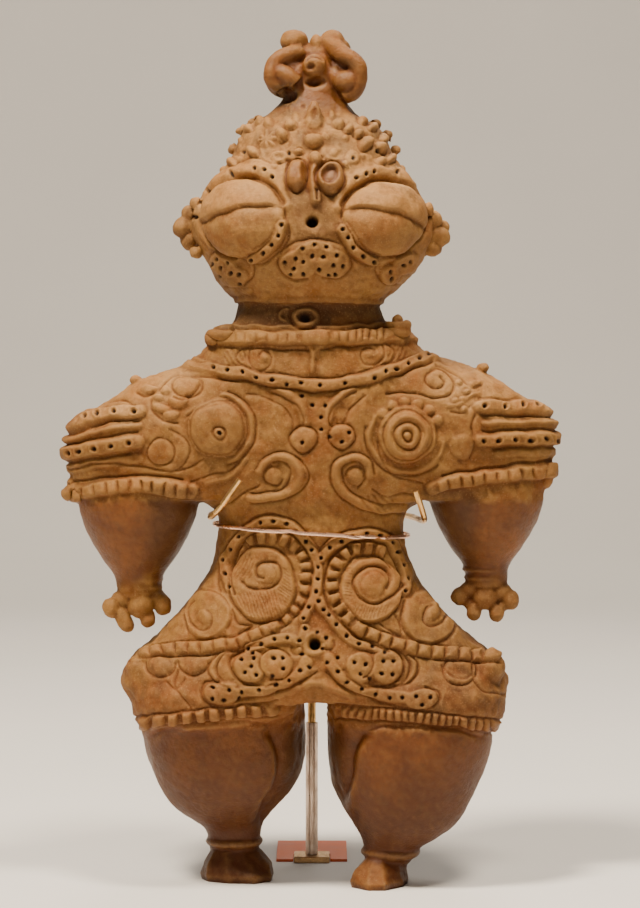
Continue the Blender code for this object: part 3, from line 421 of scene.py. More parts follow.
class Carving:
    """Raised and sunk work on one mesh, laid out on a drawing in X and Z, on the front or the back."""

    def __init__(self, points, normals):
        self.points, self.normals = points, normals
        x, z = sketched(points)
        self.x = x + WOBBLE * ripple(points, WOBBLE_LENGTH, 11)
        self.z = z + WOBBLE * ripple(points, WOBBLE_LENGTH, 12)
        self.height = np.zeros(len(points))
        self.pit = np.zeros(len(points))
        facing = normals[:, 1]
        self.share = {
            "front": np.clip((-facing - EDGE_ON) / (FULLY_FACING - EDGE_ON), 0, 1),
            "back": np.clip((facing - EDGE_ON) / (FULLY_FACING - EDGE_ON), 0, 1),
            "both": np.ones(len(points)),
        }
        self.clear()

    def clear(self):
        self.raised = np.zeros(len(self.points))
        self.sunk = np.zeros(len(self.points))

    def settle(self):
        """Keeps the work so far, so that what follows is carved on top of it."""
        self.height += self.raised - self.sunk
        self.clear()

    def window(self, low, high, side):
        inside = (self.x > low[0]) & (self.x < high[0]) & (self.z > low[1]) & (self.z < high[1])
        return np.nonzero(inside & (self.share[side] > 0))[0]

    def add(self, chosen, height, side="front"):
        """Raises the chosen points by height, or sinks them where height is negative."""
        height = height * self.share[side][chosen]
        self.raised[chosen] = np.maximum(self.raised[chosen], height)
        self.sunk[chosen] = np.maximum(self.sunk[chosen], -height)

    def near(self, path, reach, side):
        """Points within reach of a path: their distance from it, the length run, and which are left of it."""
        path = np.asarray(path, float)
        chosen = self.window(path.min(0) - reach, path.max(0) + reach, side)
        x, z = self.x[chosen], self.z[chosen]
        best, run = np.full(len(chosen), np.inf), np.zeros(len(chosen))
        left = np.zeros(len(chosen), bool)
        length = 0.0
        for start, end in zip(path[:-1], path[1:]):
            step = end - start
            span = max(float(np.hypot(*step)), 1e-9)
            across, up = x - start[0], z - start[1]
            share = np.clip((across * step[0] + up * step[1]) / span ** 2, 0, 1)
            away = np.hypot(across - share * step[0], up - share * step[1])
            closer = away < best
            best[closer] = away[closer]
            run[closer] = length + share[closer] * span
            left[closer] = (step[0] * up - step[1] * across)[closer] > 0
            length += span
        return chosen, best, run, left

    def ridge(self, path, half, height, side="front"):
        """A rounded roll along a path; a groove where height is negative."""
        chosen, away, _, _ = self.near(path, half, side)
        share = np.clip(away / half, 0, 1)
        self.add(chosen, height * (1 - share ** 2) ** 2, side)

    def line(self, path, half=0.85, depth=0.75, side="front"):
        """A line drawn with a point in the wet clay."""
        self.ridge(path, half, -depth, side)

    def stroke(self, points, half=0.85, depth=0.75, count=24):
        """A line drawn through a few points."""
        self.line(smooth_path(points, count), half, depth)

    def band(self, path, half, height, side="front", edge=0.7):
        """A flat strip with rounded edges along a path."""
        chosen, away, _, _ = self.near(path, half + edge, side)
        self.add(chosen, height * soft_step(half + edge - away, 0, 2 * edge), side)

    def step(self, path, drop, fade, reach, taper=5.0, soft=0.8):
        """A lip along a path, rounded over soft: the right-hand side falls away as from a sheet's edge."""
        chosen, away, run, left = self.near(path, reach, "front")
        length = run.max(initial=0.0)
        ends = soft_step(run, 0, taper) * soft_step(length - run, 0, taper)
        across = np.where(left, -away, away)
        fall = soft_step(across, -soft, 0.5) * np.exp(-np.maximum(across, 0) / fade)
        self.add(chosen, -drop * ends * fall, "front")

    def pillows(self, path, half, pitch, height, side="front", gap=0.2):
        """A row of rounded blocks along a path, with narrow grooves between them."""
        chosen, away, run, _ = self.near(path, half, side)
        along = np.abs((run / pitch) % 1 - 0.5) * 2 / (1 - gap)
        across = np.clip(away / half, 0, 1)
        bulge = np.clip(1 - along ** 4, 0, 1) * (1 - across ** 4)
        self.add(chosen, height * bulge ** 0.7, side)
        self.add(chosen, -0.5 * height * soft_step(along, 0.9, 1.1) * (1 - across ** 4), side)

    def cells(self, path, half, pitch, height, side="front"):
        """A sunk channel along a path, with a row of small pyramids standing in it."""
        chosen, away, run, _ = self.near(path, half, side)
        along = np.abs((run / pitch) % 1 - 0.5) * 2
        across = np.clip(away / half, 0, 1)
        reach = np.maximum(along / 0.8, across / 0.84)
        self.add(chosen, height * np.clip(1 - reach, 0, 1) ** 0.7, side)
        self.add(chosen, -0.55 * height * soft_step(reach, 0.94, 1.12) * soft_step(1 - across, 0, 0.12), side)

    def oval(self, x, z, wide, tall, side, turn, reach):
        """Points round an ellipse, with their distance from its centre in radii."""
        far = max(wide, tall) * reach
        chosen = self.window((x - far, z - far), (x + far, z + far), side)
        across, up = self.x[chosen] - x, self.z[chosen] - z
        cos, sin = np.cos(np.radians(turn)), np.sin(np.radians(turn))
        return chosen, np.hypot((across * cos + up * sin) / wide, (up * cos - across * sin) / tall)

    def dome(self, x, z, wide, tall, height, side="front", power=2.0, turn=0.0):
        """A lens raised on an ellipse, turned by turn degrees."""
        chosen, radius = self.oval(x, z, wide, tall, side, turn, 1.0)
        self.add(chosen, height * np.clip(1 - radius ** power, 0, 1) ** 0.6, side)

    def plateau(self, x, z, wide, tall, height, turn=0.0, edge=0.1):
        """A flat-topped patch on an ellipse."""
        chosen, radius = self.oval(x, z, wide, tall, "front", turn, 1.0 + edge)
        self.add(chosen, height * soft_step(1 + edge - radius, 0, 2 * edge), "front")

    def hatch(self, x, z, wide, tall, pitch, slant, depth):
        """Fine cord marks inside an ellipse, slant degrees from the upright."""
        chosen, radius = self.oval(x, z, wide, tall, "front", 0.0, 1.0)
        across = self.x[chosen] * np.cos(np.radians(slant)) + self.z[chosen] * np.sin(np.radians(slant))
        stripe = 0.5 + 0.5 * np.cos(2 * np.pi * across / pitch)
        self.add(chosen, -depth * stripe * soft_step(1 - radius, 0, 0.15), "front")

    def rings(self, x, z, radii, half, height, squash=1.0):
        """Round or oval ridges about one centre."""
        for radius in radii:
            self.ridge(arc(x, z, radius, radius * squash, 0, 360, 40), half, height)

    def studs(self, spots, height=0.8, side="front"):
        """Nodules: each spot is an x, a z and a radius; height is in radii."""
        for x, z, radius in spots:
            turn = 40 * np.sin(9 * x + 5 * z)
            self.dome(x, z, radius * 1.14, radius * 0.9, height * radius, side, turn=turn)
            self.ridge(arc(x, z, radius * 1.2, radius, 0, 360, 16), 0.8, -0.25, side)

    def pits(self, spots, radius=PIT_RADIUS, depth=PIT_DEPTH, side="front"):
        """Holes pricked in the wet clay."""
        for x, z in spots:
            chosen, share = self.oval(x, z, radius * 1.25, radius * 1.25, side, 0.0, 1.0)
            push = soft_step(1 - share, 0.0, 0.55)
            self.add(chosen, -depth * push, side)
            self.pit[chosen] = np.maximum(self.pit[chosen], push * self.share[side][chosen])

    def ringed_pits(self, spots, radius=1.75, height=0.55):
        """Holes pressed with a hollow reed, each with a low rim."""
        for x, z in spots:
            self.ridge(arc(x, z, radius, radius, 0, 360, 16), 0.75, height)
        self.pits(spots, depth=1.5)

    def scroll(self, outer, inner, width=2.2, height=1.1):
        """A raised band that curls, with a drawn line at each edge."""
        outer, inner = smooth_path(outer, 48), smooth_path(inner, 48)
        self.ridge((outer + inner) / 2, width, height)
        self.line(outer)
        self.line(inner)

    def moved(self):
        return self.points + self.normals * self.height[:, None]


def arc(x, z, wide, tall, start, sweep, points=32):
    """Part of an ellipse, from start through sweep degrees, anticlockwise from +X as seen from the front."""
    angle = np.radians(np.linspace(start, start + sweep, points))
    return np.column_stack([x + wide * np.cos(angle), z + tall * np.sin(angle)])


def spiral(x, z, inner, outer, start, sweep, points=48):
    """A scroll that opens from inner to outer radius."""
    share = np.linspace(0, 1, points)
    angle = np.radians(start + sweep * share)
    radius = inner + (outer - inner) * share
    return np.column_stack([x + radius * np.cos(angle), z + radius * np.sin(angle)])


def spaced(path, count):
    """Points at equal steps along a path."""
    path = np.asarray(path, float)
    run = np.concatenate([[0], np.cumsum(np.hypot(*np.diff(path, axis=0).T))])
    steps = np.linspace(0, run[-1], count)
    return np.column_stack([np.interp(steps, run, path[:, 0]), np.interp(steps, run, path[:, 1])])


# Eyes: centre, half-width and half-height of the lens, the start and sweep of the groove round it, the line
# where the lids meet, the line beside the nose and the brow
LENSES = [
    {"x": -28.9, "z": 279.0, "wide": 17.3, "tall": 16.1, "edge": (0, 262),
     "lid": [(-46.6, 276.4), (-40.3, 278.6), (-34.4, 280.6), (-28.4, 281.9), (-20, 283.2), (-12.6, 283.9)],
     "inner": [(-14.1, 277.6), (-16.4, 272.6), (-19.4, 269), (-23, 266.8)],
     "brow": [(-50, 271), (-49, 279.6), (-46.8, 286), (-43.6, 291), (-39, 295.2), (-33.4, 298), (-28, 299.5),
              (-23.7, 299.7), (-18.9, 298.4), (-15.2, 295.2), (-12.4, 290), (-10.8, 284)]},
    {"x": 29.9, "z": 278.7, "wide": 17.3, "tall": 15.3, "edge": (-84, 262),
     "lid": [(12.6, 283.2), (18, 282.7), (25.3, 281.6), (34.3, 279.8), (42.6, 276.9), (47.4, 274.4)],
     "inner": [(14.3, 277.6), (18.1, 271.6), (21.7, 267.4), (25.3, 264.6), (30.7, 262.6)],
     "brow": [(11.2, 284), (13, 290.4), (17.6, 295.6), (22, 297.8), (28, 298.9), (35.3, 298.2), (41, 294.4),
              (44.9, 289), (47.6, 283), (49, 276), (49.2, 269)]},
]
STRIP_DOTS = [
    [(-12.3, 275.9), (-13.6, 271.6), (-16.3, 267.9), (-19.4, 265), (-24.2, 262.4)],
    [(12.3, 274.3), (14.4, 270.6), (16.5, 267), (20.6, 264), (24.6, 261.8)],
]
BROW_DOTS = [(-48.4, 279.8), (-46.3, 285.7), (-43.5, 290.6), (-33.4, 297.6), (-23.7, 299.3), (-18.9, 298.4),
             (-15.9, 295.8), (18.3, 295.8), (22, 297.1), (25.7, 298), (35.3, 298.2), (44.8, 288.6),
             (47.6, 279.9)]
MOUTH_DOTS = [(0.7, 267.7), (-4.2, 266.5), (5.9, 266.9), (0.4, 263.3), (-7, 262.3), (-3.6, 261.1),
              (4.8, 262.6), (9.9, 263.6), (-11.1, 260.7), (8.5, 259.8), (12.8, 259.3), (-7.5, 258.1),
              (3, 257.9), (-3.2, 256.1), (-8.9, 255.7), (6.9, 255.3), (9.9, 256.1)]
CHEEK_DOTS = [(-39.2, 262), (-34.5, 260.7), (-41.2, 260), (-37.7, 258.5), (-33.2, 256.5), (-30.1, 256.1),
              (-38.5, 254.8), (-29.6, 252.2), (40.6, 261.1), (37.6, 259.5), (32.4, 256.9), (32.8, 254.4)]
CROWN_STUDS = [(-22.3, 320.6, 2.3), (-27.6, 316.6, 2.3), (-8.8, 317.4, 2.2), (10.7, 318.3, 2.3),
               (15.1, 316.2, 2.2), (25.5, 317.4, 2.1), (30.2, 312.4, 2.2), (-12.5, 313.7, 2.6),
               (19.5, 313.7, 2), (22.3, 309.6, 3), (28.8, 308.4, 2.5), (-24.6, 306.7, 2.4),
               (32.5, 304.0, 2.2), (-31.4, 311.6, 2.2), (-18.2, 318.4, 1.8), (21, 319.6, 1.8),
               (-33.5, 302.6, 2), (28.4, 302.4, 1.9), (-5.4, 306.6, 1.6)]


def carve_face_forms(carving):
    for lens in LENSES:
        x, z, wide, tall = lens["x"], lens["z"], lens["wide"], lens["tall"]
        carving.ridge(smooth_path(lens["brow"], 60), 2.9, 1.1)
        carving.dome(x, z, wide, tall, 7.0)
    for dots in STRIP_DOTS:
        carving.band(smooth_path(dots), 2.0, 3.3)
    carving.dome(-6.3, 296.7, 4.5, 6.2, 4.6, power=3)
    carving.dome(7.7, 295.6, 5.7, 6.4, 4.4, power=5)
    carving.ridge([(1.2, 304), (0.6, 297), (1.0, 291), (1.4, 286)], 2.5, 2.6)
    carving.dome(1.3, 303.8, 3.0, 3.4, 4.2)
    for x, z, wide, tall in ((1.1, 264.4, 8.2, 5.2), (-5.6, 260, 7.8, 5.8), (7.8, 260.2, 7.8, 5.8)):
        carving.plateau(x, z, wide, tall, 1.3, edge=0.1)
    for x, z, wide, tall, turn in ((-36.6, 259.6, 6.4, 4.4, -36), (-31.6, 254.6, 4.4, 4.4, 0),
                                   (38.4, 259.8, 6.4, 3.8, 34), (33, 255.4, 4.2, 4, 0)):
        carving.plateau(x, z, wide, tall, 1.2, turn=turn, edge=0.14)


def carve_face_lines(carving):
    for lens in LENSES:
        x, z, wide, tall = lens["x"], lens["z"], lens["wide"], lens["tall"]
        start, sweep = lens["edge"]
        carving.ridge(arc(x, z, wide * 1.035, tall * 1.035, start, sweep, 60), 1.0, -1.2)
        carving.ridge(arc(x, z, wide * 1.06, tall * 1.08, 20, 140, 40), 1.7, -2.3)
        lid = smooth_path(lens["lid"])
        carving.step(lid, 2.2, 4.0, 13, soft=1.2)
        carving.ridge(lid - [0, 0.5], 0.9, -0.9)
        carving.stroke(lens["inner"], 0.8, 0.6)
    carving.stroke([(-10.8, 279.4), (-9.3, 273.4), (-10.5, 268.6), (-14.7, 263.8), (-20, 259.9),
                    (-25.4, 260.3), (-29, 262.3)], 0.9)
    carving.stroke([(11, 276.4), (11, 271), (13.4, 266.2), (17, 262.2), (21.7, 259.6), (27.7, 259.8)], 0.9)
    carving.rings(-6.3, 296.7, (5.0,), 1.0, -1.2, squash=1.36)
    carving.dome(-6.6, 297.4, 2.4, 3.6, -0.5)
    carving.dome(-3.2, 297.4, 1.5, 3.8, -1.9)
    carving.rings(7.7, 295.6, (6.3,), 1.0, -1.1, squash=1.12)
    carving.dome(6.9, 296.2, 3.6, 3.7, -2.6, power=4)
    carving.dome(7.6, 295.6, 2.2, 2.4, 1.0)
    carving.ridge([(1.7, 290.4), (1.9, 286.6)], 0.9, -1.8)
    carving.line(arc(1.1, 261.2, 15.2, 9.6, 20, 140), 1.0, 0.8)
    carving.line(arc(-5.6, 260, 8.9, 6.9, 165, 130), 0.9, 0.7)
    carving.line(arc(7.8, 260.2, 8.9, 6.9, 245, 130), 0.9, 0.7)
    carving.line(arc(-34.2, 257.4, 10, 7.2, -120, 200), 0.9, 0.7)
    carving.line(arc(36, 257.6, 9.6, 6.6, 100, 190), 0.9, 0.7)
    carving.studs(CROWN_STUDS, height=1.1)
    carving.dome(0.5, 311.2, 4.2, 3.0, 3.4)
    carving.dome(-13, 304.6, 4.4, 2.5, 1.4)
    carving.dome(16.7, 304.2, 3.1, 2.9, 1.5)
    carving.dome(0.9, 322.2, 2.0, 3.0, -1.3)
    carving.dome(-10.6, 330, 4.6, 3.6, -2.6)
    carving.dome(1.4, 335.6, 4.6, 2.2, -1.4)
    for turn in (-50, 5, 48, 100):
        tip = np.array([np.cos(np.radians(turn)), np.sin(np.radians(turn))])
        carving.ridge([np.array([-19.4, 311.4]) - tip * 2.4, np.array([-18.4, 312]) + tip * 3.4], 1.2, 1.2)
    carving.stroke([(-32, 302), (-24, 304.4), (-16, 301.8), (-9.6, 303.4)], 0.9, 0.6)
    carving.stroke([(-19.6, 324.4), (-14, 327.6), (-9.6, 329.6)], 0.9, 0.7)
    carving.stroke([(13, 328.4), (18, 325.4), (24, 321.4)], 0.9, 0.7)
    dice = np.random.default_rng(5)
    for x, z in dice.uniform((-34, 300), (36, 326), (90, 2)):
        carving.dome(x, z, dice.uniform(1.0, 2.4), dice.uniform(0.9, 1.9), dice.uniform(-0.7, 1.1),
                     turn=90 * x)
    for x, z in ((-27, 248.6), (-20, 246.8), (-12.6, 245.9), (26, 249), (18.6, 246.8)):
        carving.dome(x, z, 2.6, 1.6, 0.6)


def carve_face_pits(carving):
    carving.pits(MOUTH_DOTS + CHEEK_DOTS + BROW_DOTS)
    for dots in STRIP_DOTS:
        carving.pits(dots)
    carving.pits([(0.1, 277.8)], radius=2.3, depth=7.0)
    carving.pits([(-9.3, 306.2), (-29.2, 306.9), (16.9, 303.6), (27.0, 306.3)], radius=0.9, depth=1.0)
    carving.dome(-13.6, 304.4, 2.4, 1.3, -0.9)
    carving.dome(-0.2, 342.2, 2.0, 1.6, -1.8)
    carving.ridge(arc(0.9, 343, 3.8, 3.4, 30, 120), 0.9, -1.3)
    carving.dome(0.6, 335.4, 3.6, 1.9, -1.8)


def carve_neck_forms(carving):
    carving.band([(-60, 245), (10, 245), (40, 243.6)], 0.8, 1.1, side="both")
    carving.band([(-60, 233.8), (8, 233.4), (30, 234.8), (60, 235)], 0.7, 1.2, side="both")
    carving.band([(-60, 229.2), (60, 229.6)], 2.7, 2.0, side="both")
    neckline = smooth_path([(-52, 219.2), (-40, 216.4), (-28.7, 214.1), (-16.6, 211.6), (-4.3, 210.2),
                            (3.6, 209.6), (14, 210.6), (25.5, 212.9), (34.9, 216.2), (44.4, 219.9),
                            (52, 222.4)], 60)
    carving.band(neckline, 2.2, 1.7)
    carving.band(neckline * [-1, 1] + [0, 2], 2.3, 1.7, side="back")
    for lapel in ([(-14, 208.6), (-8.4, 205), (-4.2, 200), (-2.6, 194)],
                  [(17, 208.6), (11.6, 204.6), (8, 200), (6.2, 194)]):
        carving.ridge(smooth_path(lapel), 2.6, 1.3)


def carve_neck_lines(carving):
    carving.band(arc(-2.6, 237.9, 4.6, 3.2, 0, 360), 0.9, 1.5)
    carving.ridge(arc(-2.6, 237.9, 6.8, 5.2, 150, 150), 1.2, -1.2)
    carving.ridge(arc(-10.2, 238.2, 3, 2.6, 80, 170), 1.0, 1.1)
    carving.line([(-33, 232.2), (-20, 231.8), (-4, 231.6)], 0.9, 0.8)
    carving.line([(8, 231.4), (20, 232.2), (33, 233.8)], 0.9, 0.8)
    carving.plateau(1.6, 228.6, 5.2, 4.2, 1.1, edge=0.14)
    carving.ridge([(-1, 226), (0.4, 222.6), (3, 226)], 1.6, 1.0)
    carving.ridge([(0.4, 223.4), (0.3, 215.4)], 1.3, 0.9)
    carving.pillows([(9, 229.4), (31, 230.2)], 2.1, 2.9, 0.8)
    carving.pillows([(-31, 228.6), (-6, 229.2)], 1.9, 4.2, 0.45)
    carving.line([(-36, 225.4), (-12, 224.6), (-2, 224)])
    carving.line([(36, 227), (14, 225.8), (4, 224.4)])
    for x, z, side in ((-20.6, 221.1, -1), (24.1, 222.3, 1)):
        carving.line(spiral(x, z, 1.6, 7.2, 90 - 90 * side, 470 * side), 0.8, 0.6)
        carving.dome(x, z, 2.6, 1.6, 0.5)
        carving.hatch(x + 11.5 * side, z + 0.6, 5, 3.8, 2.1, -24 * side, 0.4)
        carving.line(arc(x + 1.5 * side, z, 9.4, 5.4, 90 - 90 * side - 70, 140))
    neckline = smooth_path([(-50, 219.4), (-28.7, 217), (-10, 213.6), (2, 212.6), (14, 213.6), (34, 219),
                            (50, 224.6)], 50)
    carving.line(neckline, 0.8, 0.7)
    carving.line(neckline - [0, 5.6], 1.0, 1.1)


def carve_neck_pits(carving):
    carving.pits([(-40.5, 216.4), (-35.1, 216), (-28.7, 214.1), (-22.7, 212.9), (-16.6, 211.7),
                  (-10.4, 209.9), (-4.3, 210.5), (3.6, 209.5), (14, 210.4), (25.5, 212.6), (30.5, 214.9),
                  (34.9, 216), (39.7, 217.7), (44.4, 219.9), (48.2, 221.2), (-4.3, 204.9), (-0.15, 201.4),
                  (5.8, 200.8), (3.4, 196.3), (3.9, 191.3), (7.6, 188.3), (-4, 185.8), (12.3, 186.3),
                  (15, 189.7)])
    carving.pits([(-2.9, 237.8)], radius=2.1, depth=1.6)
    carving.pits([(-38, 190.1)], radius=1.1, depth=1.6)


def carve_chest_forms(carving):
    carving.dome(-39.4, 191.6, 12.2, 12.2, 4.2, power=2.4)
    carving.dome(39.6, 189, 12.2, 12.2, 4.0, power=2.6)
    carving.dome(-38.2, 190.1, 3.4, 3.4, 5.4)
    carving.dome(39.6, 188.6, 3.0, 3.0, 5.0)
    for x, z in ((-3.4, 187.2), (12.4, 188.3)):
        carving.dome(x, z, 5.4, 5.2, 1.5, power=4)


def carve_chest_lines(carving):
    carving.rings(-39.4, 191.6, (11.2,), 1.1, -0.95)
    carving.rings(-38.2, 190.1, (2.7,), 0.9, -0.7)
    carving.ridge(arc(-39.4, 191.6, 14.6, 14.2, -70, 150), 1.5, 0.9)
    carving.line(arc(-39.4, 191.6, 16.4, 16, -75, 150))
    carving.ridge(smooth_path([(-52, 198), (-44, 202.4), (-34, 204)]), 1.4, 0.4)
    carving.stroke([(-53, 196), (-44, 200.6), (-33, 201.6)], depth=0.5)
    carving.rings(39.6, 188.6, (2.1, 5.5, 10.3), 0.85, -0.85)
    carving.rings(39.6, 188.6, (3.8, 7.9), 1.4, 0.7)
    carving.ridge(arc(39.6, 188.6, 15.6, 15.2, 150, 200), 1.3, 0.8)
    carving.line(arc(39.6, 188.6, 17.4, 17, 165, 150))
    for turn in range(28, 160, 22):
        carving.dome(39.6 + 14 * np.cos(np.radians(turn)), 188.6 + 14 * np.sin(np.radians(turn)), 2.5, 2.1,
                     1.2)
    for x, z, radius in ((-3.4, 187.2, 6.0), (12.4, 188.3, 5.4)):
        carving.line(arc(x, z, radius, radius * 0.96, 0, 360, 30))
    carving.stroke([(-16, 206.4), (-11.1, 204.4), (-5.7, 200.4), (-3, 195), (-4.2, 193)])
    carving.stroke([(18.6, 207), (13.6, 204.6), (9.2, 200.4), (6.8, 195), (8.4, 192.6)])
    carving.stroke([(-27, 206), (-14, 202), (-8.6, 196), (-8, 192)], depth=0.55)
    carving.stroke([(22, 205), (16, 200), (13.4, 194.6)], depth=0.55)
    carving.scroll([(-25.8, 160.8), (-15.8, 160.8), (-7.9, 163.6), (-2.7, 167.6), (-1.1, 172.8),
                    (-4.3, 178.4), (-9.9, 181.1), (-15.8, 181.5), (-21, 178), (-23.4, 174.4)],
                    [(-25.8, 165), (-17.8, 165), (-13.2, 166.2), (-9.9, 168.8), (-8.6, 172.4), (-9.5, 175),
                     (-12.6, 177.2), (-15.8, 177.6), (-18.8, 175.8), (-19.8, 173)], 2.4, 1.2)
    carving.dome(-16.2, 172, 3.6, 3.4, 0.9)
    carving.line(arc(-16.2, 172, 4.4, 4.1, 100, 240))
    carving.stroke([(-21.6, 168), (-27, 165.8), (-33, 161), (-39.6, 158.6)])
    carving.scroll([(38, 156.2), (30, 155.8), (22, 157.3), (14, 161.2), (9.2, 166.4), (7.6, 172.8),
                    (9.2, 178), (14, 181.1), (20, 181.1), (24.8, 178), (26, 172.8)],
                    [(38, 160), (31, 159.8), (24, 161.2), (17.6, 164.6), (13.6, 168.4), (12.2, 172.8),
                     (13.2, 176), (16, 177.6), (19.4, 177.2), (21.6, 174.8), (21.6, 171.6)], 2.4, 1.2)
    carving.dome(18, 171.6, 3.4, 3.4, 0.9)
    carving.hatch(27, 160.6, 8, 3.6, 2.4, 40, 0.5)
    carving.line(arc(18, 171.6, 4.3, 4.2, -70, 240))
    carving.stroke([(25.4, 166), (31, 163), (37, 164.8), (43, 164)])
    carving.stroke([(-28, 181), (-34, 174), (-44, 172), (-52, 168)], depth=0.6)
    carving.ridge(smooth_path([(-28, 178.6), (-34, 171.4), (-44, 169.4)]), 1.6, 0.7)
    carving.stroke([(27, 186), (29, 178), (36, 171), (46, 169)], depth=0.6)


def carve_shoulder_forms(carving):
    """Ridges round each shoulder's end, and the raised hem of each sleeve."""
    for path, half, rise in (
        ([(-112, 188.6), (-103.2, 192.2), (-87.8, 196.8), (-71.6, 198.9)], 2.3, 2.0),
        ([(-112, 183.4), (-103.2, 186.2), (-87.8, 190.4), (-71.6, 193)], 1.0, 1.2),
        ([(-112, 178.6), (-103.7, 180.9), (-87.8, 183.7), (-72.6, 186.2)], 2.6, 2.2),
        ([(112, 199), (100.5, 199.5), (87.8, 200), (69.4, 200.8)], 2.2, 1.9),
        ([(112, 193.9), (100, 193.9), (71.6, 193.9)], 0.9, 1.2),
        ([(112, 187.8), (103.7, 187.6), (86.7, 187.4), (69.6, 186.6)], 2.4, 2.1),
        ([(-112, 173.2), (-100, 175.2), (-84, 178), (-72, 179)], 2.0, 0.7),
        ([(112, 181.6), (96, 182), (78, 181)], 1.8, 0.6),
        ([(-112, 162.8), (-95.7, 165.2), (-80, 167.6), (-66, 167.6), (-50, 165.6)], 3.0, 1.8),
        ([(112, 174.6), (93.1, 173.5), (77.2, 171.9), (58.1, 169.2), (50, 166.6)], 2.7, 1.8),
    ):
        carving.band(smooth_path(path), half, rise, side="both")
    carving.dome(-62.8, 181.9, 5.4, 5.4, 1.0)
    carving.dome(62.6, 184, 5.2, 5.2, 1.2)


def carve_shoulder_lines(carving):
    for path in ([(-110, 187.4), (-100, 189.4), (-87, 193.5), (-73, 195.8)],
                 [(-108, 183.8), (-90, 187.2), (-73, 190.4)],
                 [(110, 197.2), (96, 196.6), (72, 197.2)], [(110, 191), (92, 191.2), (71, 190.8)],
                 [(-104, 176.6), (-90, 179), (-76, 181.4)], [(104, 184), (90, 183.6), (76, 182.8)]):
        carving.ridge(smooth_path(path), 0.95, -1.0, side="both")
    carving.pillows(smooth_path([(-104, 163.6), (-95.7, 165), (-80, 167.3), (-66, 167.4), (-52, 165.6)]), 2.8,
                    4.8, 0.9)
    carving.pillows(smooth_path([(52, 167.4), (58.1, 169), (77.2, 171.7), (93.1, 173.3)]), 2.6, 5.0, 0.9)
    carving.stroke([(-104, 168.6), (-90, 171), (-70, 172), (-54, 170)], 1.0, 1.0)
    carving.stroke([(100, 178.4), (88, 177.2), (68, 174.6), (54, 172)], 1.0, 1.0)
    carving.stroke([(-102, 174), (-88, 177.4), (-72, 176), (-62, 173.6)], 1.0, 0.8)
    # Left: a leaf, its stalk and the lumps beside it
    carving.line(arc(-51.7, 209, 6.4, 4.4, 0, 360), 0.9, 0.85)
    carving.dome(-51.7, 209, 5.4, 3.6, 0.8, power=4, turn=24)
    carving.stroke([(-73, 206.4), (-68.6, 204.8), (-65, 207.4), (-60, 211.8), (-50.6, 214.2), (-41, 212.6)],
                   1.0, 1.0)
    carving.stroke([(-58, 204.8), (-54, 203.6), (-50, 205.2), (-46.6, 209.6)], 0.9)
    for x, z, wide, tall in ((-55.6, 203.2, 4.2, 3.4), (-67.6, 207.9, 3.4, 1.7), (-61.2, 207.6, 2.2, 1.9),
                             (-63.9, 204.4, 2, 1.6), (-62.3, 200, 3.4, 2.1), (-58.6, 197.4, 3, 1.9)):
        carving.dome(x, z, wide, tall, 1.1, power=3)
    carving.stroke([(-66.4, 203), (-66.6, 198.6), (-62, 194.8), (-56, 194)], 0.9)
    carving.rings(-62.8, 181.9, (5.6,), 0.8, -0.6)
    carving.line(arc(-60.6, 182, 9.6, 9, -80, 160), 0.8, 0.6)
    carving.stroke([(-72, 177), (-62, 173.4), (-52, 174.6), (-45, 179)], 0.8, 0.6)
    carving.stroke([(-106, 194.4), (-92, 200.6), (-80, 203.2), (-74, 201.4)], 0.9, 0.8)
    # Right: a spiral with a long tail, a lobe and small nodules
    carving.stroke([(31, 206.1), (42.7, 206.4), (50.7, 204), (57, 205.1), (59.4, 209.9), (56.6, 214.6),
                    (52, 216.4), (48.3, 214.6), (47.6, 211.2), (49.8, 208.6), (53.2, 208.6), (55, 211),
                    (53, 213)], 0.95, 0.95, count=60)
    carving.stroke([(52, 217.6), (57.4, 216), (61.8, 213.2), (66.8, 208.6), (70.6, 209.6)], 0.9)
    carving.dome(67.6, 210, 3.2, 1.8, 0.9)
    carving.studs([(60.9, 211.4, 1.4), (64, 207, 1.5), (59.6, 203.2, 1.4), (62.4, 203.8, 1.3),
                   (63, 199.4, 1.5)], 0.7)
    carving.ridge(smooth_path([(56.6, 200.6), (61.4, 202), (66, 205.6), (70, 206.4)]), 1.2, 0.7)
    carving.stroke([(58, 198.2), (63, 198.2), (67, 201.6), (70.6, 204)], 0.8, 0.6)
    carving.stroke([(68, 197), (66.2, 192), (67.6, 186), (66, 180)], 0.9, 0.7)
    carving.stroke([(106, 203.4), (92, 204.2), (80, 203.6), (70, 204.6)], 0.8, 0.6)


def carve_shoulder_pits(carving):
    carving.ringed_pits([(-98.9, 194.4), (-93.9, 195.7), (-88.3, 197), (-81.7, 197.6), (-73.6, 198.4),
                         (-100.2, 181.4), (-95.5, 182.2), (-89.6, 183.2), (-83, 184.2), (-75.6, 185.4),
                         (71.6, 200.4), (79.8, 199.9), (87, 200.3), (93.1, 200.6), (98.4, 200.3),
                         (71.1, 186.4), (77.2, 186.6), (84.1, 186.8), (90.5, 187), (96.3, 187.2),
                         (100.8, 187)])


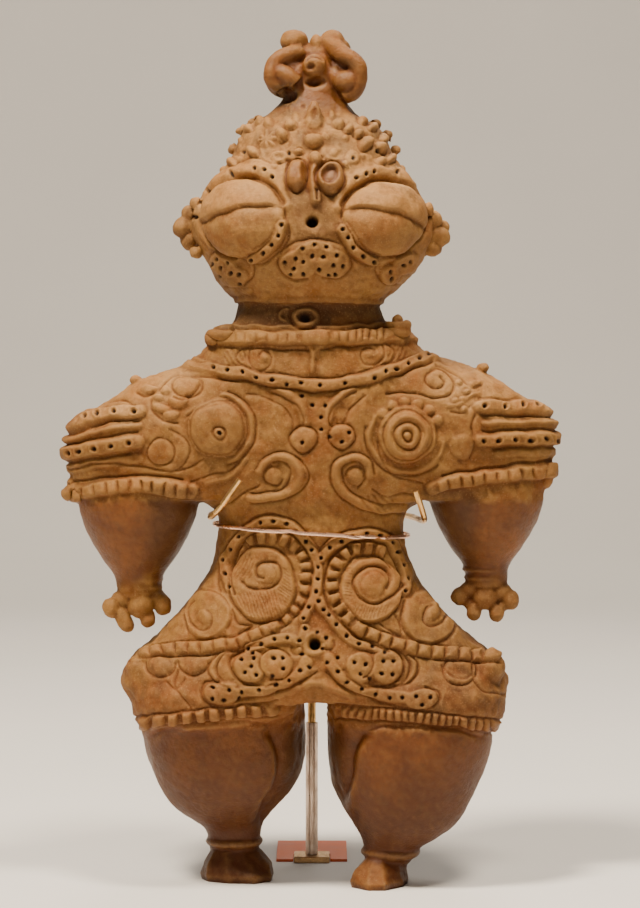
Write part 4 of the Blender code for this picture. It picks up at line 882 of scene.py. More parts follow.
BELLY_STRIPS = [
    [(-34.2, 125.7), (-35.8, 131.1), (-36, 136.4), (-33.3, 141.2), (-30, 146.4), (-25.9, 149.6),
     (-21.2, 152.6), (-15.8, 153), (-10.7, 152.2), (-6.5, 148.9), (-2.4, 144.9), (0, 141.2), (2.2, 134.1),
     (2.3, 128.8), (1.8, 123.5), (-1, 117.4), (-3.2, 112.3)],
    [(4, 137.7), (7.6, 141.6), (12.1, 144.7), (16.5, 146.6), (22.3, 147.7), (28, 147), (32.8, 144.3),
     (35.2, 140.2), (38.1, 134), (39.4, 128.8), (38.3, 123.5)],
    [(2.8, 119.7), (4.6, 116.4), (7.1, 113.7), (10, 109.5), (14.2, 105.3), (19.7, 102), (24.9, 100.8),
     (30.2, 98.2)],
    [(-2.4, 108), (-5.2, 103.4), (-10.3, 104.6), (-15.8, 104), (-21, 101.9), (-26.3, 100)],
]
LEFT_TEETH = [(-27.8, 143.4), (-24.7, 145.4), (-16.2, 146.2), (-9.8, 143.9), (-4.5, 140.1), (-2.3, 134.3),
              (-2.3, 127.9), (-3.6, 122.6), (-6, 118.2), (-10, 113), (-15.6, 109.4)]
RIGHT_TEETH = [(31, 140), (22, 141.6), (15.6, 140.6), (11, 137), (8.6, 131.1), (8.7, 123.7), (10.3, 119.2),
               (13.5, 114.4), (17.8, 109.8)]


def carve_belly_forms(carving):
    """Two great scrolls in dotted arches, with belts that run down to the hips."""
    for strip in BELLY_STRIPS:
        carving.band(smooth_path(strip, 60), 1.9, 1.5)
    carving.plateau(-20.4, 126.6, 13.2, 15.4, 1.9, edge=0.07)
    carving.plateau(24.5, 124, 12.6, 13.4, 1.9, edge=0.07)
    carving.band(smooth_path([(-16, 108.6), (-25.4, 104.8), (-34, 101.8), (-46.6, 100.2), (-59.7, 99.6),
                              (-74, 97)]), 2.3, 1.3)
    carving.band(smooth_path([(17.8, 109.8), (25, 105.6), (35, 102.2), (45.8, 99.4), (59.8, 97.6), (76, 97)]),
                 2.6, 1.4)
    carving.plateau(48.6, 112.6, 10.6, 11.4, 1.2, turn=20, edge=0.1)
    carving.plateau(-43, 114.4, 9.6, 10.6, 1.1, turn=-20, edge=0.1)
    carving.plateau(1, 101.6, 7.4, 6.6, 1.0, edge=0.2)


def carve_belly_lines(carving):
    carving.stroke([(-31.4, 122), (-33.2, 128), (-32.8, 135), (-29.6, 142.4), (-24, 148.4), (-16, 149.8),
                    (-9.6, 148.2), (-4.4, 143.6), (-0.8, 137), (-0.2, 128), (-2.3, 120.6), (-5.8, 114.6),
                    (-11, 109.8), (-17, 106.5)], 1.0, 1.3, count=60)
    carving.stroke([(35.8, 124), (36.4, 130), (34.6, 137), (31, 142.6), (22.2, 144.9), (14, 142.9),
                    (7.4, 136.4), (4.9, 127.2), (6.3, 118.5), (10.6, 111.4), (16.6, 106.4), (24, 102.4),
                    (32, 98.6)], 1.1, 1.6, count=60)
    carving.stroke([(-38.4, 124), (-39, 134), (-35.6, 143), (-28.6, 151.4), (-21, 155.4), (-12, 155.2),
                    (-4.4, 150.6), (1, 143.6), (4.2, 139.6)], 0.85, 0.8, count=50)
    carving.stroke([(3.4, 141), (9.6, 146.8), (16.6, 149.6), (24, 150.6), (31.4, 148.6), (36.6, 144.4),
                    (40.4, 137)], 0.85, 0.8, count=40)
    carving.pillows(smooth_path(LEFT_TEETH, 50), 2.6, 4.9, 1.3, gap=0.36)
    carving.pillows(smooth_path(RIGHT_TEETH, 50), 2.7, 5.1, 1.6, gap=0.36)
    # Left scroll: a spiral groove and cord marks in its lower lobe
    carving.line(arc(-20.4, 126.6, 14, 16.2, 0, 360, 50), 0.95, 0.9)
    carving.ridge(smooth_path([(-28.4, 127.8), (-26.4, 125.6), (-22.4, 124.3), (-16.4, 125), (-12.8, 129.4),
                               (-14, 134.6), (-18.6, 136), (-22.3, 133.8), (-22.6, 130.4), (-20, 128.8)], 50),
                               1.15, -1.15)
    carving.dome(-18.4, 130.6, 3.6, 4.2, 0.9, power=3)
    carving.hatch(-21, 117.6, 11.5, 7.4, 1.3, 20, 0.42)
    carving.hatch(-11, 125, 3.6, 9, 1.3, 58, 0.4)
    carving.hatch(-28.4, 134, 5, 6.4, 1.3, -30, 0.3)
    # Right scroll: a disc whose band curls round to a free end
    carving.stroke([(37.4, 121), (34.8, 115.6), (29, 111.6), (22.2, 110.4), (16.4, 115), (12.2, 122),
                    (12, 130), (16, 136.6), (22, 138.8), (28.4, 137.4), (32, 133.6)], 1.0, 1.1, count=50)
    carving.ridge(smooth_path([(37.6, 126.6), (34, 122.6), (29.8, 119.8), (23.8, 118.8), (18.5, 122),
                               (17, 127.4), (19.4, 132), (24.6, 134), (29.8, 132.4), (31.8, 128.4),
                               (30.6, 124.8)], 60), 1.2, -1.5)
    carving.dome(25, 126.4, 5, 5.4, 1.1, power=3)
    carving.hatch(25, 115.2, 9.6, 3.6, 1.3, -18, 0.4)
    carving.hatch(14.4, 127, 2.6, 8, 1.3, 80, 0.4)
    carving.stroke([(27.4, 111), (31.6, 108), (37, 105.4), (36.6, 110.4), (34, 115)], 0.85, 0.8)
    carving.stroke([(-33.4, 116), (-31.4, 110), (-24.8, 109.4), (-29.4, 106.4), (-34.4, 104.8)], 0.85, 0.8)
    # Belts
    carving.cells(smooth_path([(17.8, 109.6), (23.4, 106.4), (35, 102.2), (45.8, 99.4), (59.8, 97.7),
                               (76, 97)], 40), 2.9, 5.6, 1.9)
    carving.cells(smooth_path([(-72, 97.6), (-59.7, 99.7), (-46.6, 100.3), (-34, 101.8), (-26.4, 104.4),
                               (-18, 108.2)], 40), 2.5, 5.2, 1.2)
    for path in ([(16, 112), (24, 109.2), (35, 105.4), (46, 102.4), (60, 100.6), (74, 100)],
                 [(14.6, 107.8), (22, 103.2), (34, 99), (46, 96.4), (60, 94.6), (78, 94)],
                 [(-74, 100.2), (-60, 102.4), (-47, 103.2), (-34, 104.8), (-26, 107.6)],
                 [(-76, 95.4), (-56.3, 97), (-42, 97.6), (-30.6, 99.2), (-22, 102.6)]):
        carving.stroke(path, 0.8, 0.9, count=40)
    # Spirals at the sides
    carving.line(arc(48.6, 113.4, 11.6, 12, 150, 235, 40), 1.0, 1.1)
    carving.line(spiral(49.4, 114, 2.6, 7.4, 110, 330), 1.0, 1.0)
    carving.dome(49.6, 114.6, 2.8, 3.6, 1.4)
    carving.line(arc(-43.4, 113.6, 9.6, 10.6, 215, -245, 40), 0.85, 0.75)
    carving.line(spiral(-44.4, 112.8, 2.6, 7.6, 60, -300), 0.85, 0.75)
    carving.dome(-44.2, 112.8, 3.6, 2.8, 1.0)
    # Navel
    carving.rings(1, 101.8, (4.0,), 1.3, 0.8, squash=1.1)
    carving.ridge(spiral(6.4, 101.8, 1.2, 3.2, 90, 300, 24), 0.8, -0.7)
    carving.ridge(spiral(-5.4, 99.6, 1.2, 3.2, 90, -300, 24), 0.8, -0.6)


def carve_belly_pits(carving):
    for strip in BELLY_STRIPS:
        carving.pits(strip)
    carving.pits([(2.3, 106.5), (5.9, 104.2), (-3.9, 97.5), (10.8, 96.4), (-24.4, 98.1), (4.2, 99.6)])
    carving.pits([(1, 101.8)], radius=2.4, depth=7.0)


HIP_DOTS = [(-29.4, 95.6), (-24.3, 98.1), (-24.1, 95.8), (-25.2, 92.5), (-27.9, 90.2), (-22.9, 88.8),
            (-16.6, 88.4), (-12.1, 91.5), (-12.2, 96), (-15.8, 95.8), (-3.6, 97.5), (-1.35, 92.2),
            (-4.8, 90.8), (-9.4, 86.8), (-15.2, 84.8), (-40.8, 83.5), (-34.7, 83.2), (-28.7, 82.3),
            (-22, 83.1), (-41, 79), (-36.6, 79.2), (-30.3, 79.5), (17.5, 94.2), (22.2, 93.3), (19.8, 89.8),
            (24.1, 87.8), (28.9, 89.5), (33.1, 89), (30, 94.5), (33.7, 94.5), (30.4, 98.3), (10.9, 96.3),
            (6.4, 93.7), (10.9, 90.2), (14.4, 86), (20.7, 83.5), (26.4, 81.3), (32.5, 79.5), (37.9, 79.5),
            (43.2, 80.6), (49.2, 79.5), (45.5, 77)]


def carve_hips_forms(carving):
    carving.plateau(-25.6, 92.6, 6.8, 6.6, 1.7, edge=0.1)
    carving.plateau(-14.8, 93.2, 6.6, 6.2, 1.7, edge=0.1)
    carving.plateau(20.4, 92.4, 6.2, 6.4, 1.7, edge=0.1)
    carving.plateau(31, 92.6, 6.6, 7.0, 1.7, edge=0.1)
    carving.band(smooth_path([(-2, 94.6), (-5.4, 89.2), (-12, 85.4), (-22, 83), (-32, 82)]), 2.2, 1.4)
    carving.plateau(-37.4, 81.4, 7.6, 4.6, 1.5)
    carving.band(smooth_path([(7, 96), (9.6, 91), (15, 86.4), (24, 82.4), (34, 80), (44, 79.6)]), 2.3, 1.4)
    carving.plateau(45.4, 79, 6.6, 4.2, 1.5)
    carving.band([(-90, 67.2), (-62.6, 69.8), (-42, 72.1), (-16.4, 75), (-8, 75.4)], 2.3, 0.4, side="both")
    carving.band([(92, 65.6), (75.6, 67.7), (59.2, 69.6), (35.9, 72.3), (12.5, 73.7), (8, 74)], 2.2, 0.5,
                 side="both")
    # The bulb of each leg stands forward of the inner thigh and of the hem
    carving.step(smooth_path([(-25, 25), (-18.4, 33.7), (-13.6, 41.5), (-11.6, 50.4), (-12.4, 58.2),
                              (-15.6, 64), (-21.3, 67.8)], 60), 4.2, 8.0, 18, taper=12, soft=4.5)
    carving.step(smooth_path([(27.7, 67), (19.4, 63), (15.4, 56), (14.4, 46), (12.4, 38.2), (13.4, 30)], 60),
                 3.4, 7.0, 15, taper=14, soft=4.5)
    carving.step(smooth_path([(-13, 62), (-17, 66.4), (-24, 68.4), (-41.4, 68.3), (-58, 66.2), (-70, 62.6)],
                             60), 1.6, 2.2, 6, taper=12, soft=1.4)
    carving.step(smooth_path([(76, 61.8), (60, 65.6), (42, 67.3), (29, 67), (21, 64.8), (17, 61)], 60), 1.3,
                 2.2, 6, taper=12, soft=1.4)
    carving.plateau(61.6, 90.6, 6.2, 5.6, 0.9)


def carve_hips_lines(carving):
    carving.pillows([(-78, 68), (-62.6, 69.8), (-42, 72.1), (-16.4, 75)], 2.5, 5.8, 1.7, gap=0.34)
    carving.pillows([(12.5, 73.5), (35.9, 72.3), (59.2, 69.6), (80, 67.4)], 2.6, 3.1, 1.0, gap=0.3)
    carving.line([(-86, 70.6), (-62.6, 73), (-42, 75.2), (-14, 78.4)], 0.9, 0.8, side="both")
    carving.line([(88, 69), (59.2, 72.6), (35.9, 75), (10, 76.6)], 0.9, 0.8, side="both")
    carving.line([(-86, 64.6), (-62.6, 67.1), (-42, 69.2), (-14, 72)], 0.9, 0.9, side="both")
    carving.line([(88, 63), (59.2, 66.8), (35.9, 69.4), (10, 70.8)], 0.9, 0.9, side="both")
    carving.line(arc(-21, 93, 13.4, 8.2, 30, 260, 40), 0.95, 1.0)
    carving.line(arc(-15, 93.6, 6.4, 6.4, 90, 200), 0.8, 0.8)
    carving.line(arc(25.6, 92.4, 13, 8.2, 190, 250, 40), 0.95, 1.0)
    carving.line(arc(20, 93.4, 5.4, 5.2, -80, 200), 0.8, 0.8)
    for x, wide, side in ((-30, 9.6, -1), (-30, 13.4, -1), (33.4, 7.6, 1), (33.4, 11, 1)):
        carving.line(arc(x, 91.8, wide, 7.6, 90, 180 if side < 0 else -180), 0.9, 0.85)
    carving.ridge(arc(-30, 91.8, 11.5, 7.2, 100, 160), 1.4, 0.8)
    carving.ridge(arc(33.4, 91.8, 9.4, 7.2, 80, -160), 1.4, 0.8)
    for x, z, radius in ((-63.1, 94.2, 6.2), (-49.4, 94.8, 6.4)):
        carving.line(arc(x, z, radius, radius, 180, 180), 0.9, 0.85)
        carving.dome(x, z - 1.6, radius - 1.6, 3.6, 0.7)
    carving.line(arc(61.6, 91, 6.6, 6.2, 150, 240), 0.85, 0.8)
    carving.stroke([(54, 93.4), (58, 88.6), (63, 87.4), (68, 90)], 0.85, 0.7)
    carving.stroke([(66, 95.6), (67.2, 88), (72, 82.4), (80, 81)], 0.95, 0.9)
    carving.stroke([(2, 90.6), (-6, 85.8), (-14, 82.2), (-24, 79.6), (-32, 78.2), (-42, 76.4), (-46.4, 80.6),
                    (-44.6, 85.6), (-38, 86.8)], 0.9, 0.9, count=50)
    carving.stroke([(6, 90), (13, 84), (23, 79.6), (33, 76.6), (44, 74.6), (52, 77), (53, 81.6), (47, 84)],
                   0.9, 0.9, count=50)
    carving.stroke([(-56, 91), (-57, 84), (-52, 78), (-50, 74)], 0.85, 0.6)
    carving.stroke([(-60, 86), (-57, 83), (-54, 86.4)], 0.8, 0.6)
    carving.ridge(smooth_path([(-14, 80.4), (-6, 83.6), (1, 86), (9, 83.4), (17, 80)]), 2.2, 0.9)


def carve_back(carving):
    """The back, which is plainer: ridged scrolls, a spine groove and the belts carried round."""
    carving.ridge([(0, 205), (0, 150), (0, 80)], 4.5, -1.6, side="back")
    for side in (-1, 1):
        carving.ridge(spiral(24 * side, 186, 2.2, 13, 90 - 90 * side, -440 * side), 2.3, 1.8, side="back")
        carving.ridge(arc(52 * side, 195, 8, 8, 0, 360), 2.0, 1.6, side="back")
        carving.ridge(spiral(20 * side, 126, 2.2, 14, 90 + 90 * side, 440 * side), 2.3, 1.8, side="back")
        belt = smooth_path([(6 * side, 106), (22 * side, 102), (46 * side, 99.6), (62 * side, 98)])
        carving.band(belt, 2.4, 1.6, side="back")
        carving.ridge(spiral(22 * side, 274, 2.2, 13, 90 - 90 * side, 400 * side), 2.2, 1.8, side="back")
    carving.band([(-30, 292), (30, 292)], 2.0, 1.6, side="back")


def carve_back_lines(carving):
    for side in (-1, 1):
        belt = smooth_path([(6 * side, 106), (22 * side, 102), (46 * side, 99.6), (62 * side, 98)])
        carving.cells(belt, 2.4, 5.4, 0.9, side="back")
        carving.studs([(x * side, z, 2.3) for x, z in ((8, 316), (20, 315), (27, 308), (14, 307), (24, 300),
                                                       (5, 301))], 1.0, side="back")
        carving.pillows([(52 * side, 166), (98 * side, 166 + 6 * (side > 0))], 2.6, 4.8, 0.9, side="back")
        carving.pillows([(12 * side, 74.4), (78 * side, 67.6)], 2.1, 5.2, 1.0, side="back")
        carving.line(spiral(24 * side, 186, 2.2, 16, 90 - 90 * side, -440 * side), side="back")
        carving.line(spiral(20 * side, 126, 3.4, 17, 90 + 90 * side, 440 * side), side="back")
    dots = smooth_path([(-46, 220), (-24, 214.6), (0, 211.4), (24, 214.6), (46, 220)], 40)
    carving.pits(spaced(dots, 15), side="back")
    carving.pits(spaced(np.array([(-30, 292), (30, 292)]), 9), side="back")


def carve(points, normals):
    """All the carving, from broad to fine: forms, then lines and blocks, then pits."""
    carving = Carving(points, normals)
    for work in (carve_face_forms, carve_neck_forms, carve_chest_forms, carve_shoulder_forms,
                 carve_belly_forms,
                 carve_hips_forms, carve_back):
        work(carving)
    carving.settle()
    for work in (carve_face_lines, carve_neck_lines, carve_chest_lines, carve_shoulder_lines,
                 carve_belly_lines,
                 carve_hips_lines, carve_back_lines):
        work(carving)
    carving.settle()
    for work in (carve_face_pits, carve_neck_pits, carve_shoulder_pits, carve_belly_pits):
        work(carving)
    carving.pits(HIP_DOTS)
    carving.settle()
    rough = 1 - RUBBED_RELIEF * zones_of(points)[:, 1]
    for rise, wavelength, seed in COARSE_RELIEF:
        carving.height += rough * rise * ripple(points, wavelength, seed)
    return carving


# Clay piece

def mesh_from(form, name):
    mesh = bpy.data.meshes.new(name)
    bmesh.ops.recalc_face_normals(form, faces=form.faces)
    form.to_mesh(mesh)
    form.free()
    return mesh


def evaluated_mesh(obj):
    """The object's mesh with its modifiers applied, as a new mesh."""
    depsgraph = bpy.context.evaluated_depsgraph_get()
    depsgraph.update()
    return bpy.data.meshes.new_from_object(obj.evaluated_get(depsgraph))


def remeshed(form, name, voxel, passes):
    """Joins the shells of a form into one skin, and evens it out."""
    obj = bpy.data.objects.new(name, mesh_from(form, name))
    bpy.context.scene.collection.objects.link(obj)
    remesh = obj.modifiers.new("Skin", "REMESH")
    remesh.mode = "VOXEL"
    remesh.voxel_size = voxel
    smooth = obj.modifiers.new("Even", "SMOOTH")
    smooth.factor = 0.5
    smooth.iterations = passes
    mesh = evaluated_mesh(obj)
    bpy.data.objects.remove(obj)
    return mesh


def vertex_array(mesh, name):
    values = np.zeros(len(mesh.vertices) * 3)
    mesh.vertices.foreach_get(name, values)
    return values.reshape(-1, 3)


def softened(values, edges, count, times):
    """Values averaged with their neighbours, times over."""
    first, second = edges.T
    ends = np.concatenate([first, second])
    others = np.concatenate([second, first])
    share = 1.0 / np.maximum(np.bincount(ends, minlength=count), 1)
    for _ in range(times):
        total = [np.bincount(ends, weights=values[others, axis], minlength=count) for axis in range(3)]
        values = 0.5 * values + 0.5 * np.column_stack(total) * share[:, None]
    return values


def shade_and_edge_wear_of(mesh, pit):
    """Three values a point: how deep it lies in a hollow, how far it stands on an edge, and in a pit. The
    hollow and pit values are masks for painted shade, the edge value for lighter, worn edges.
    """
    points, normals = vertex_array(mesh, "co"), vertex_array(mesh, "normal")
    edges = np.zeros(len(mesh.edges) * 2, int)
    mesh.edges.foreach_get("vertices", edges)
    edges = edges.reshape(-1, 2)
    near = softened(points, edges, len(points), 6)
    far = softened(near, edges, len(points), 40)
    fine = ((near - points) * normals).sum(1)
    broad = ((far - points) * normals).sum(1)
    hollow = np.clip(fine / 0.16, 0, 1) * 0.5 + np.clip(broad / 0.8, 0, 1) * 0.7
    edge = np.clip(-fine / 0.12, 0, 1) * 0.6 + np.clip(-broad / 0.9, 0, 1) * 0.5
    return np.column_stack([np.clip(hollow, 0, 1), np.clip(edge, 0, 1), pit, np.ones(len(pit))])


def between(value, low, high):
    """One inside a range, and fading to nothing over its low and its high end."""
    return soft_step(value, *low) * (1 - soft_step(value, *high))


def smoked_and_shaded(points, ragged):
    """Where the fire has blackened the clay, with painted shade added under the crown's left lobe, between
    the eyes, across the crown, on the lower right of the trunk, between the legs and beside the forearms,
    from 0 to 1.
    """
    x, y, z = points.T
    reach = np.abs(x)
    mottle = soft_step(ripple(points, 7, 23), 0.2, 1.4)
    neck = soft_step(z + ragged * 0.5, 233.6, 236) * (1 - soft_step(z + ragged * 0.3, 243.6, 245.4))
    neck *= np.where(x > 8, 0.3 + 0.45 * soft_step(z, 237, 241), 0.8) * (reach < 46)
    # Painted shadow: the oval about x -10.6, z 330.4 darkens the clay under the crown's left lobe; the neck
    # band is fire-blackening
    soot_and_shade = neck + soft_step(1 - np.hypot((x + 10.6) / 8, (z - 330.4) / 6), 0, 0.4)
    soot_and_shade += 0.7 * soft_step(1 - np.hypot((x - 13) / 8, (z - 343) / 3.6), 0, 0.5)
    left_ear = soft_step(-x + ragged, 46, 52) * (np.abs(z - 276) < 14)
    # Painted shade: between_eyes darkens the sunk strip between the lens domes
    between_eyes = soft_step(12.5 - reach + ragged, 0, 5) * between(z, (266, 274), (290, 294))
    left_jaw = soft_step(-x + ragged, 20, 34) * between(z, (243, 245), (250, 262))
    soot_and_shade += 0.45 * left_ear + 0.5 * between_eyes + 0.5 * left_jaw
    # Mottled darkening across the crown: fire-blackening together with painted shade between its studs
    soot_and_shade += (0.2 + 0.45 * mottle) * between(z, (302, 310), (325, 330))
    # Painted shade: the lower right of the trunk is darkened, mottled, as on the side turned from the key
    # light
    soot_and_shade += (0.3 + 0.35 * mottle) * soft_step(x, 12, 50) * between(z, (68, 72), (100, 138))
    soot_and_shade += 0.4 * mottle * soft_step(-x, 20, 50) * between(z, (68, 72), (90, 110))
    # Painted shade between the legs and between each forearm and the trunk
    inner_thigh = between(x, (-15, -8), (10, 15)) * (1 - soft_step(z, 62, 68))
    armpit = (1 - soft_step(reach, 64, 72)) * (reach > 46) * soft_step(z, 128, 136) * (z < 168)
    return np.clip(soot_and_shade + 0.6 * inner_thigh + 0.6 * armpit, 0, 1)


def rubbed_smooth(points, ragged):
    """Where the clay was rubbed smooth before firing: forearms, legs, top knot and the rings on the brow."""
    x, y, z = points.T
    reach = np.abs(x)
    below_sleeve = soft_step(-z + ragged * 0.3, -163.5, -161)
    forearm = soft_step(reach, 46, 50) * below_sleeve * soft_step(z + ragged, 125, 132)
    leg = (1 - soft_step(z + ragged * 0.4, 67, 70)) * (reach < 92)
    knot = 0.85 * soft_step(z + 0.5 * ragged, 321, 328) * (1 - 0.7 * soft_step(z, 347, 352))
    brow_rings = 0.8 * (np.abs(z - 296.4) < 6.6) * (x > -11) * (x < 13.6) * (y < -26)
    return np.clip(forearm + leg + knot + brow_rings, 0, 1)


def paler_and_top_lit(points, ragged):
    """Where the clay is lighter and pinker, with painted top light: the upper face, the crown and the
    shoulders' tops, the left shoulder lit more than the right.
    """
    x, y, z = points.T
    reach = np.abs(x)
    # Painted top light: the face lightens from the lids upwards, except between the eyes
    face = 0.2 + 0.8 * soft_step(z + 0.6 * ragged, 276, 286) * (1 - soft_step(11 - reach, 0, 4) * (z < 300))
    head = soft_step(z + ragged, 244, 250) * face * (1 - soft_step(z, 318, 325))
    shoulders = soft_step(z + 2 * ragged, 190, 212) * (1 - soft_step(z, 228, 232)) * soft_step(reach, 34, 62)
    # Painted light: the right shoulder's share is cut to 0.85, as turned from the key light on the left
    return head + shoulders * np.where(x < 0, 1.0, 0.85)


def painted_foot_highlights(points):
    """Painted highlight: a lighter patch on the front of each foot, where light catches it."""
    x, y, z = points.T
    left = soft_step(1 - np.hypot((x + 22.5 - 0.9 * (z - 9)) / 7, (z - 9) / 8), 0.1, 0.4) * (y < -14)
    right = soft_step(1 - np.hypot((x - 24.5) / 9, (z - 5.5) / 7), 0.1, 0.4) * (y < -14)
    return np.where(x < 0, left, right)


def zones_of(points):
    """Three values a point: blackened by fire together with painted shade, rubbed smooth, and the lighter,
    pinker clay of the upper parts together with painted top light and foot highlights.
    """
    ragged = 1.6 * ripple(points, 14, 21) + 0.8 * ripple(points, 5, 22)
    # Painted foot highlights: lighter and less burnished on the front of each foot
    foot_highlight = painted_foot_highlights(points)
    rubbed = rubbed_smooth(points, ragged) * (1 - 0.9 * foot_highlight)
    pale = np.clip(paler_and_top_lit(points, ragged) + 0.35 * foot_highlight, 0, 1)
    return np.column_stack([smoked_and_shaded(points, ragged), rubbed, pale, np.ones(len(points))])


def cut_soles(mesh):
    """Cuts the feet off flat at the standing plane, and closes each cut with a flat sole."""
    form = bmesh.new()
    form.from_mesh(mesh)
    everything = list(form.verts) + list(form.edges) + list(form.faces)
    cut = bmesh.ops.bisect_plane(form, geom=everything, dist=0.01, plane_co=(0, 0, 0), plane_no=(0, 0, 1),
                                 clear_inner=True)
    rim = [item for item in cut["geom_cut"] if isinstance(item, bmesh.types.BMEdge)]
    soles = bmesh.ops.edgeloop_fill(form, edges=rim)["faces"]
    bmesh.ops.triangulate(form, faces=soles)
    bmesh.ops.recalc_face_normals(form, faces=form.faces)
    form.to_mesh(mesh)
    form.free()


def clay_skin():
    """The figure's full-grain skin in design millimetres, and which of its points are in pits."""
    broad = remeshed(body_forms(), "broad_forms", BROAD_VOXEL, BROAD_PASSES)
    form = bmesh.new()
    form.from_mesh(broad)
    for arm in (LEFT_ARM, RIGHT_ARM):
        hand(form, arm)
    for leg in (LEFT_LEG, RIGHT_LEG):
        foot(form, leg)
    top_knot(form)
    ears(form)
    small_lumps(form)
    skin = remeshed(form, "small_forms", FINE_VOXEL, FINE_PASSES)
    carving = carve(vertex_array(skin, "co"), vertex_array(skin, "normal"))
    skin.vertices.foreach_set("co", carving.moved().ravel())
    skin.update()
    return skin, carving.pit


def thinned(mesh, triangles):
    """The mesh with about so many triangles, fewest where it is smooth."""
    obj = bpy.data.objects.new("full_skin", mesh)
    bpy.context.scene.collection.objects.link(obj)
    mesh.calc_loop_triangles()
    thin = obj.modifiers.new("Thin", "DECIMATE")
    thin.ratio = min(1.0, triangles / len(mesh.loop_triangles))
    thin.use_collapse_triangulate = True
    result = evaluated_mesh(obj)
    bpy.data.objects.remove(obj)
    return result


def colour_layer(mesh, name, values):
    layer = mesh.color_attributes.new(name, "FLOAT_COLOR", "POINT")
    layer.data.foreach_set("color", values.astype(np.float32).ravel())


def make_clay(frame_box, offset):
    """The clay figure in the frame's metres, with its hollow, edge and pit masks (painted shade in the
    hollows and pits) and its zones as colour layers.
    """
    skin, pit = clay_skin()
    shade_and_edge_wear = shade_and_edge_wear_of(skin, pit)
    whole = vertex_array(skin, "co")
    tree = KDTree(len(whole))
    for i, point in enumerate(whole):
        tree.insert(point, i)
    tree.balance()
    cut_soles(skin)
    mesh = thinned(skin, CLAY_TRIANGLES)
    points = vertex_array(mesh, "co")
    nearest = np.array([tree.find(point)[1] for point in points])
    colour_layer(mesh, "shade_and_edge_wear", shade_and_edge_wear[nearest])
    colour_layer(mesh, "zones", zones_of(points))
    points[points[:, 2] < SOLE_TOLERANCE, 2] = 0.0
    scale = (frame_box[1].z - frame_box[0].z) / DESIGN_HEIGHT
    points = points * scale + [offset.x, offset.y, frame_box[0].z]
    mesh.vertices.foreach_set("co", points.ravel())
    mesh.shade_smooth()
    obj = bpy.data.objects.new("clay_figurine", mesh)
    bpy.context.scene.collection.objects.link(obj)
    return obj


# Materials

class Graph:
    """A material's node tree, with one call a node."""

    def __init__(self, name):
        self.material = bpy.data.materials.new(name)
        self.material.use_nodes = True
        self.tree = self.material.node_tree
        self.shader = self.tree.nodes["Principled BSDF"]
        self.place = self.tree.nodes.new("ShaderNodeTexCoord").outputs["Object"]

    def put(self, socket, value):
        if isinstance(value, bpy.types.NodeSocket):
            self.tree.links.new(value, socket)
        else:
            socket.default_value = value

    def set(self, name, value):
        self.put(self.shader.inputs[name], value)

    def noise(self, size, detail=4.0, roughness=0.55, distortion=0.0, stretch=None):
        """Noise whose features are about size metres across."""
        node = self.tree.nodes.new("ShaderNodeTexNoise")
        node.inputs["Scale"].default_value = 1.0 / size
        node.inputs["Detail"].default_value = detail
        node.inputs["Roughness"].default_value = roughness
        node.inputs["Distortion"].default_value = distortion
        place = self.place
        if stretch:
            mapping = self.tree.nodes.new("ShaderNodeMapping")
            mapping.inputs["Scale"].default_value = stretch
            self.put(mapping.inputs["Vector"], place)
            place = mapping.outputs["Vector"]
        self.put(node.inputs["Vector"], place)
        return node.outputs["Fac"]

    def layer(self, name):
        """The red, green and blue of a colour layer on the mesh."""
        node = self.tree.nodes.new("ShaderNodeAttribute")
        node.attribute_name = name
        split = self.tree.nodes.new("ShaderNodeSeparateColor")
        self.put(split.inputs["Color"], node.outputs["Color"])
        return split.outputs["Red"], split.outputs["Green"], split.outputs["Blue"]

    def ramp(self, value, low, high, start=0.0, end=1.0):
        """Takes low..high to start..end, held at both ends."""
        node = self.tree.nodes.new("ShaderNodeMapRange")
        for name, number in (("From Min", low), ("From Max", high), ("To Min", start), ("To Max", end)):
            node.inputs[name].default_value = number
        self.put(node.inputs["Value"], value)
        return node.outputs["Result"]

    def math(self, operation, first, second):
        node = self.tree.nodes.new("ShaderNodeMath")
        node.operation = operation
        self.put(node.inputs[0], first)
        self.put(node.inputs[1], second)
        return node.outputs["Value"]

    def mix(self, share, first, second):
        """A colour between first and second."""
        node = self.tree.nodes.new("ShaderNodeMix")
        node.data_type = "RGBA"
        self.put(node.inputs["Factor"], share)
        for socket, value in ((node.inputs[6], first), (node.inputs[7], second)):
            self.put(socket, value if isinstance(value, bpy.types.NodeSocket) else (*value, 1.0))
        return node.outputs[2]

    def bump(self, height, distance, strength=1.0, normal=None):
        node = self.tree.nodes.new("ShaderNodeBump")
        node.inputs["Distance"].default_value = distance
        node.inputs["Strength"].default_value = strength
        self.put(node.inputs["Height"], height)
        if normal:
            self.put(node.inputs["Normal"], normal)
        return node.outputs["Normal"]

    def height_above_floor(self):
        split = self.tree.nodes.new("ShaderNodeSeparateXYZ")
        self.put(split.inputs["Vector"], self.place)
        return split.outputs["Z"]


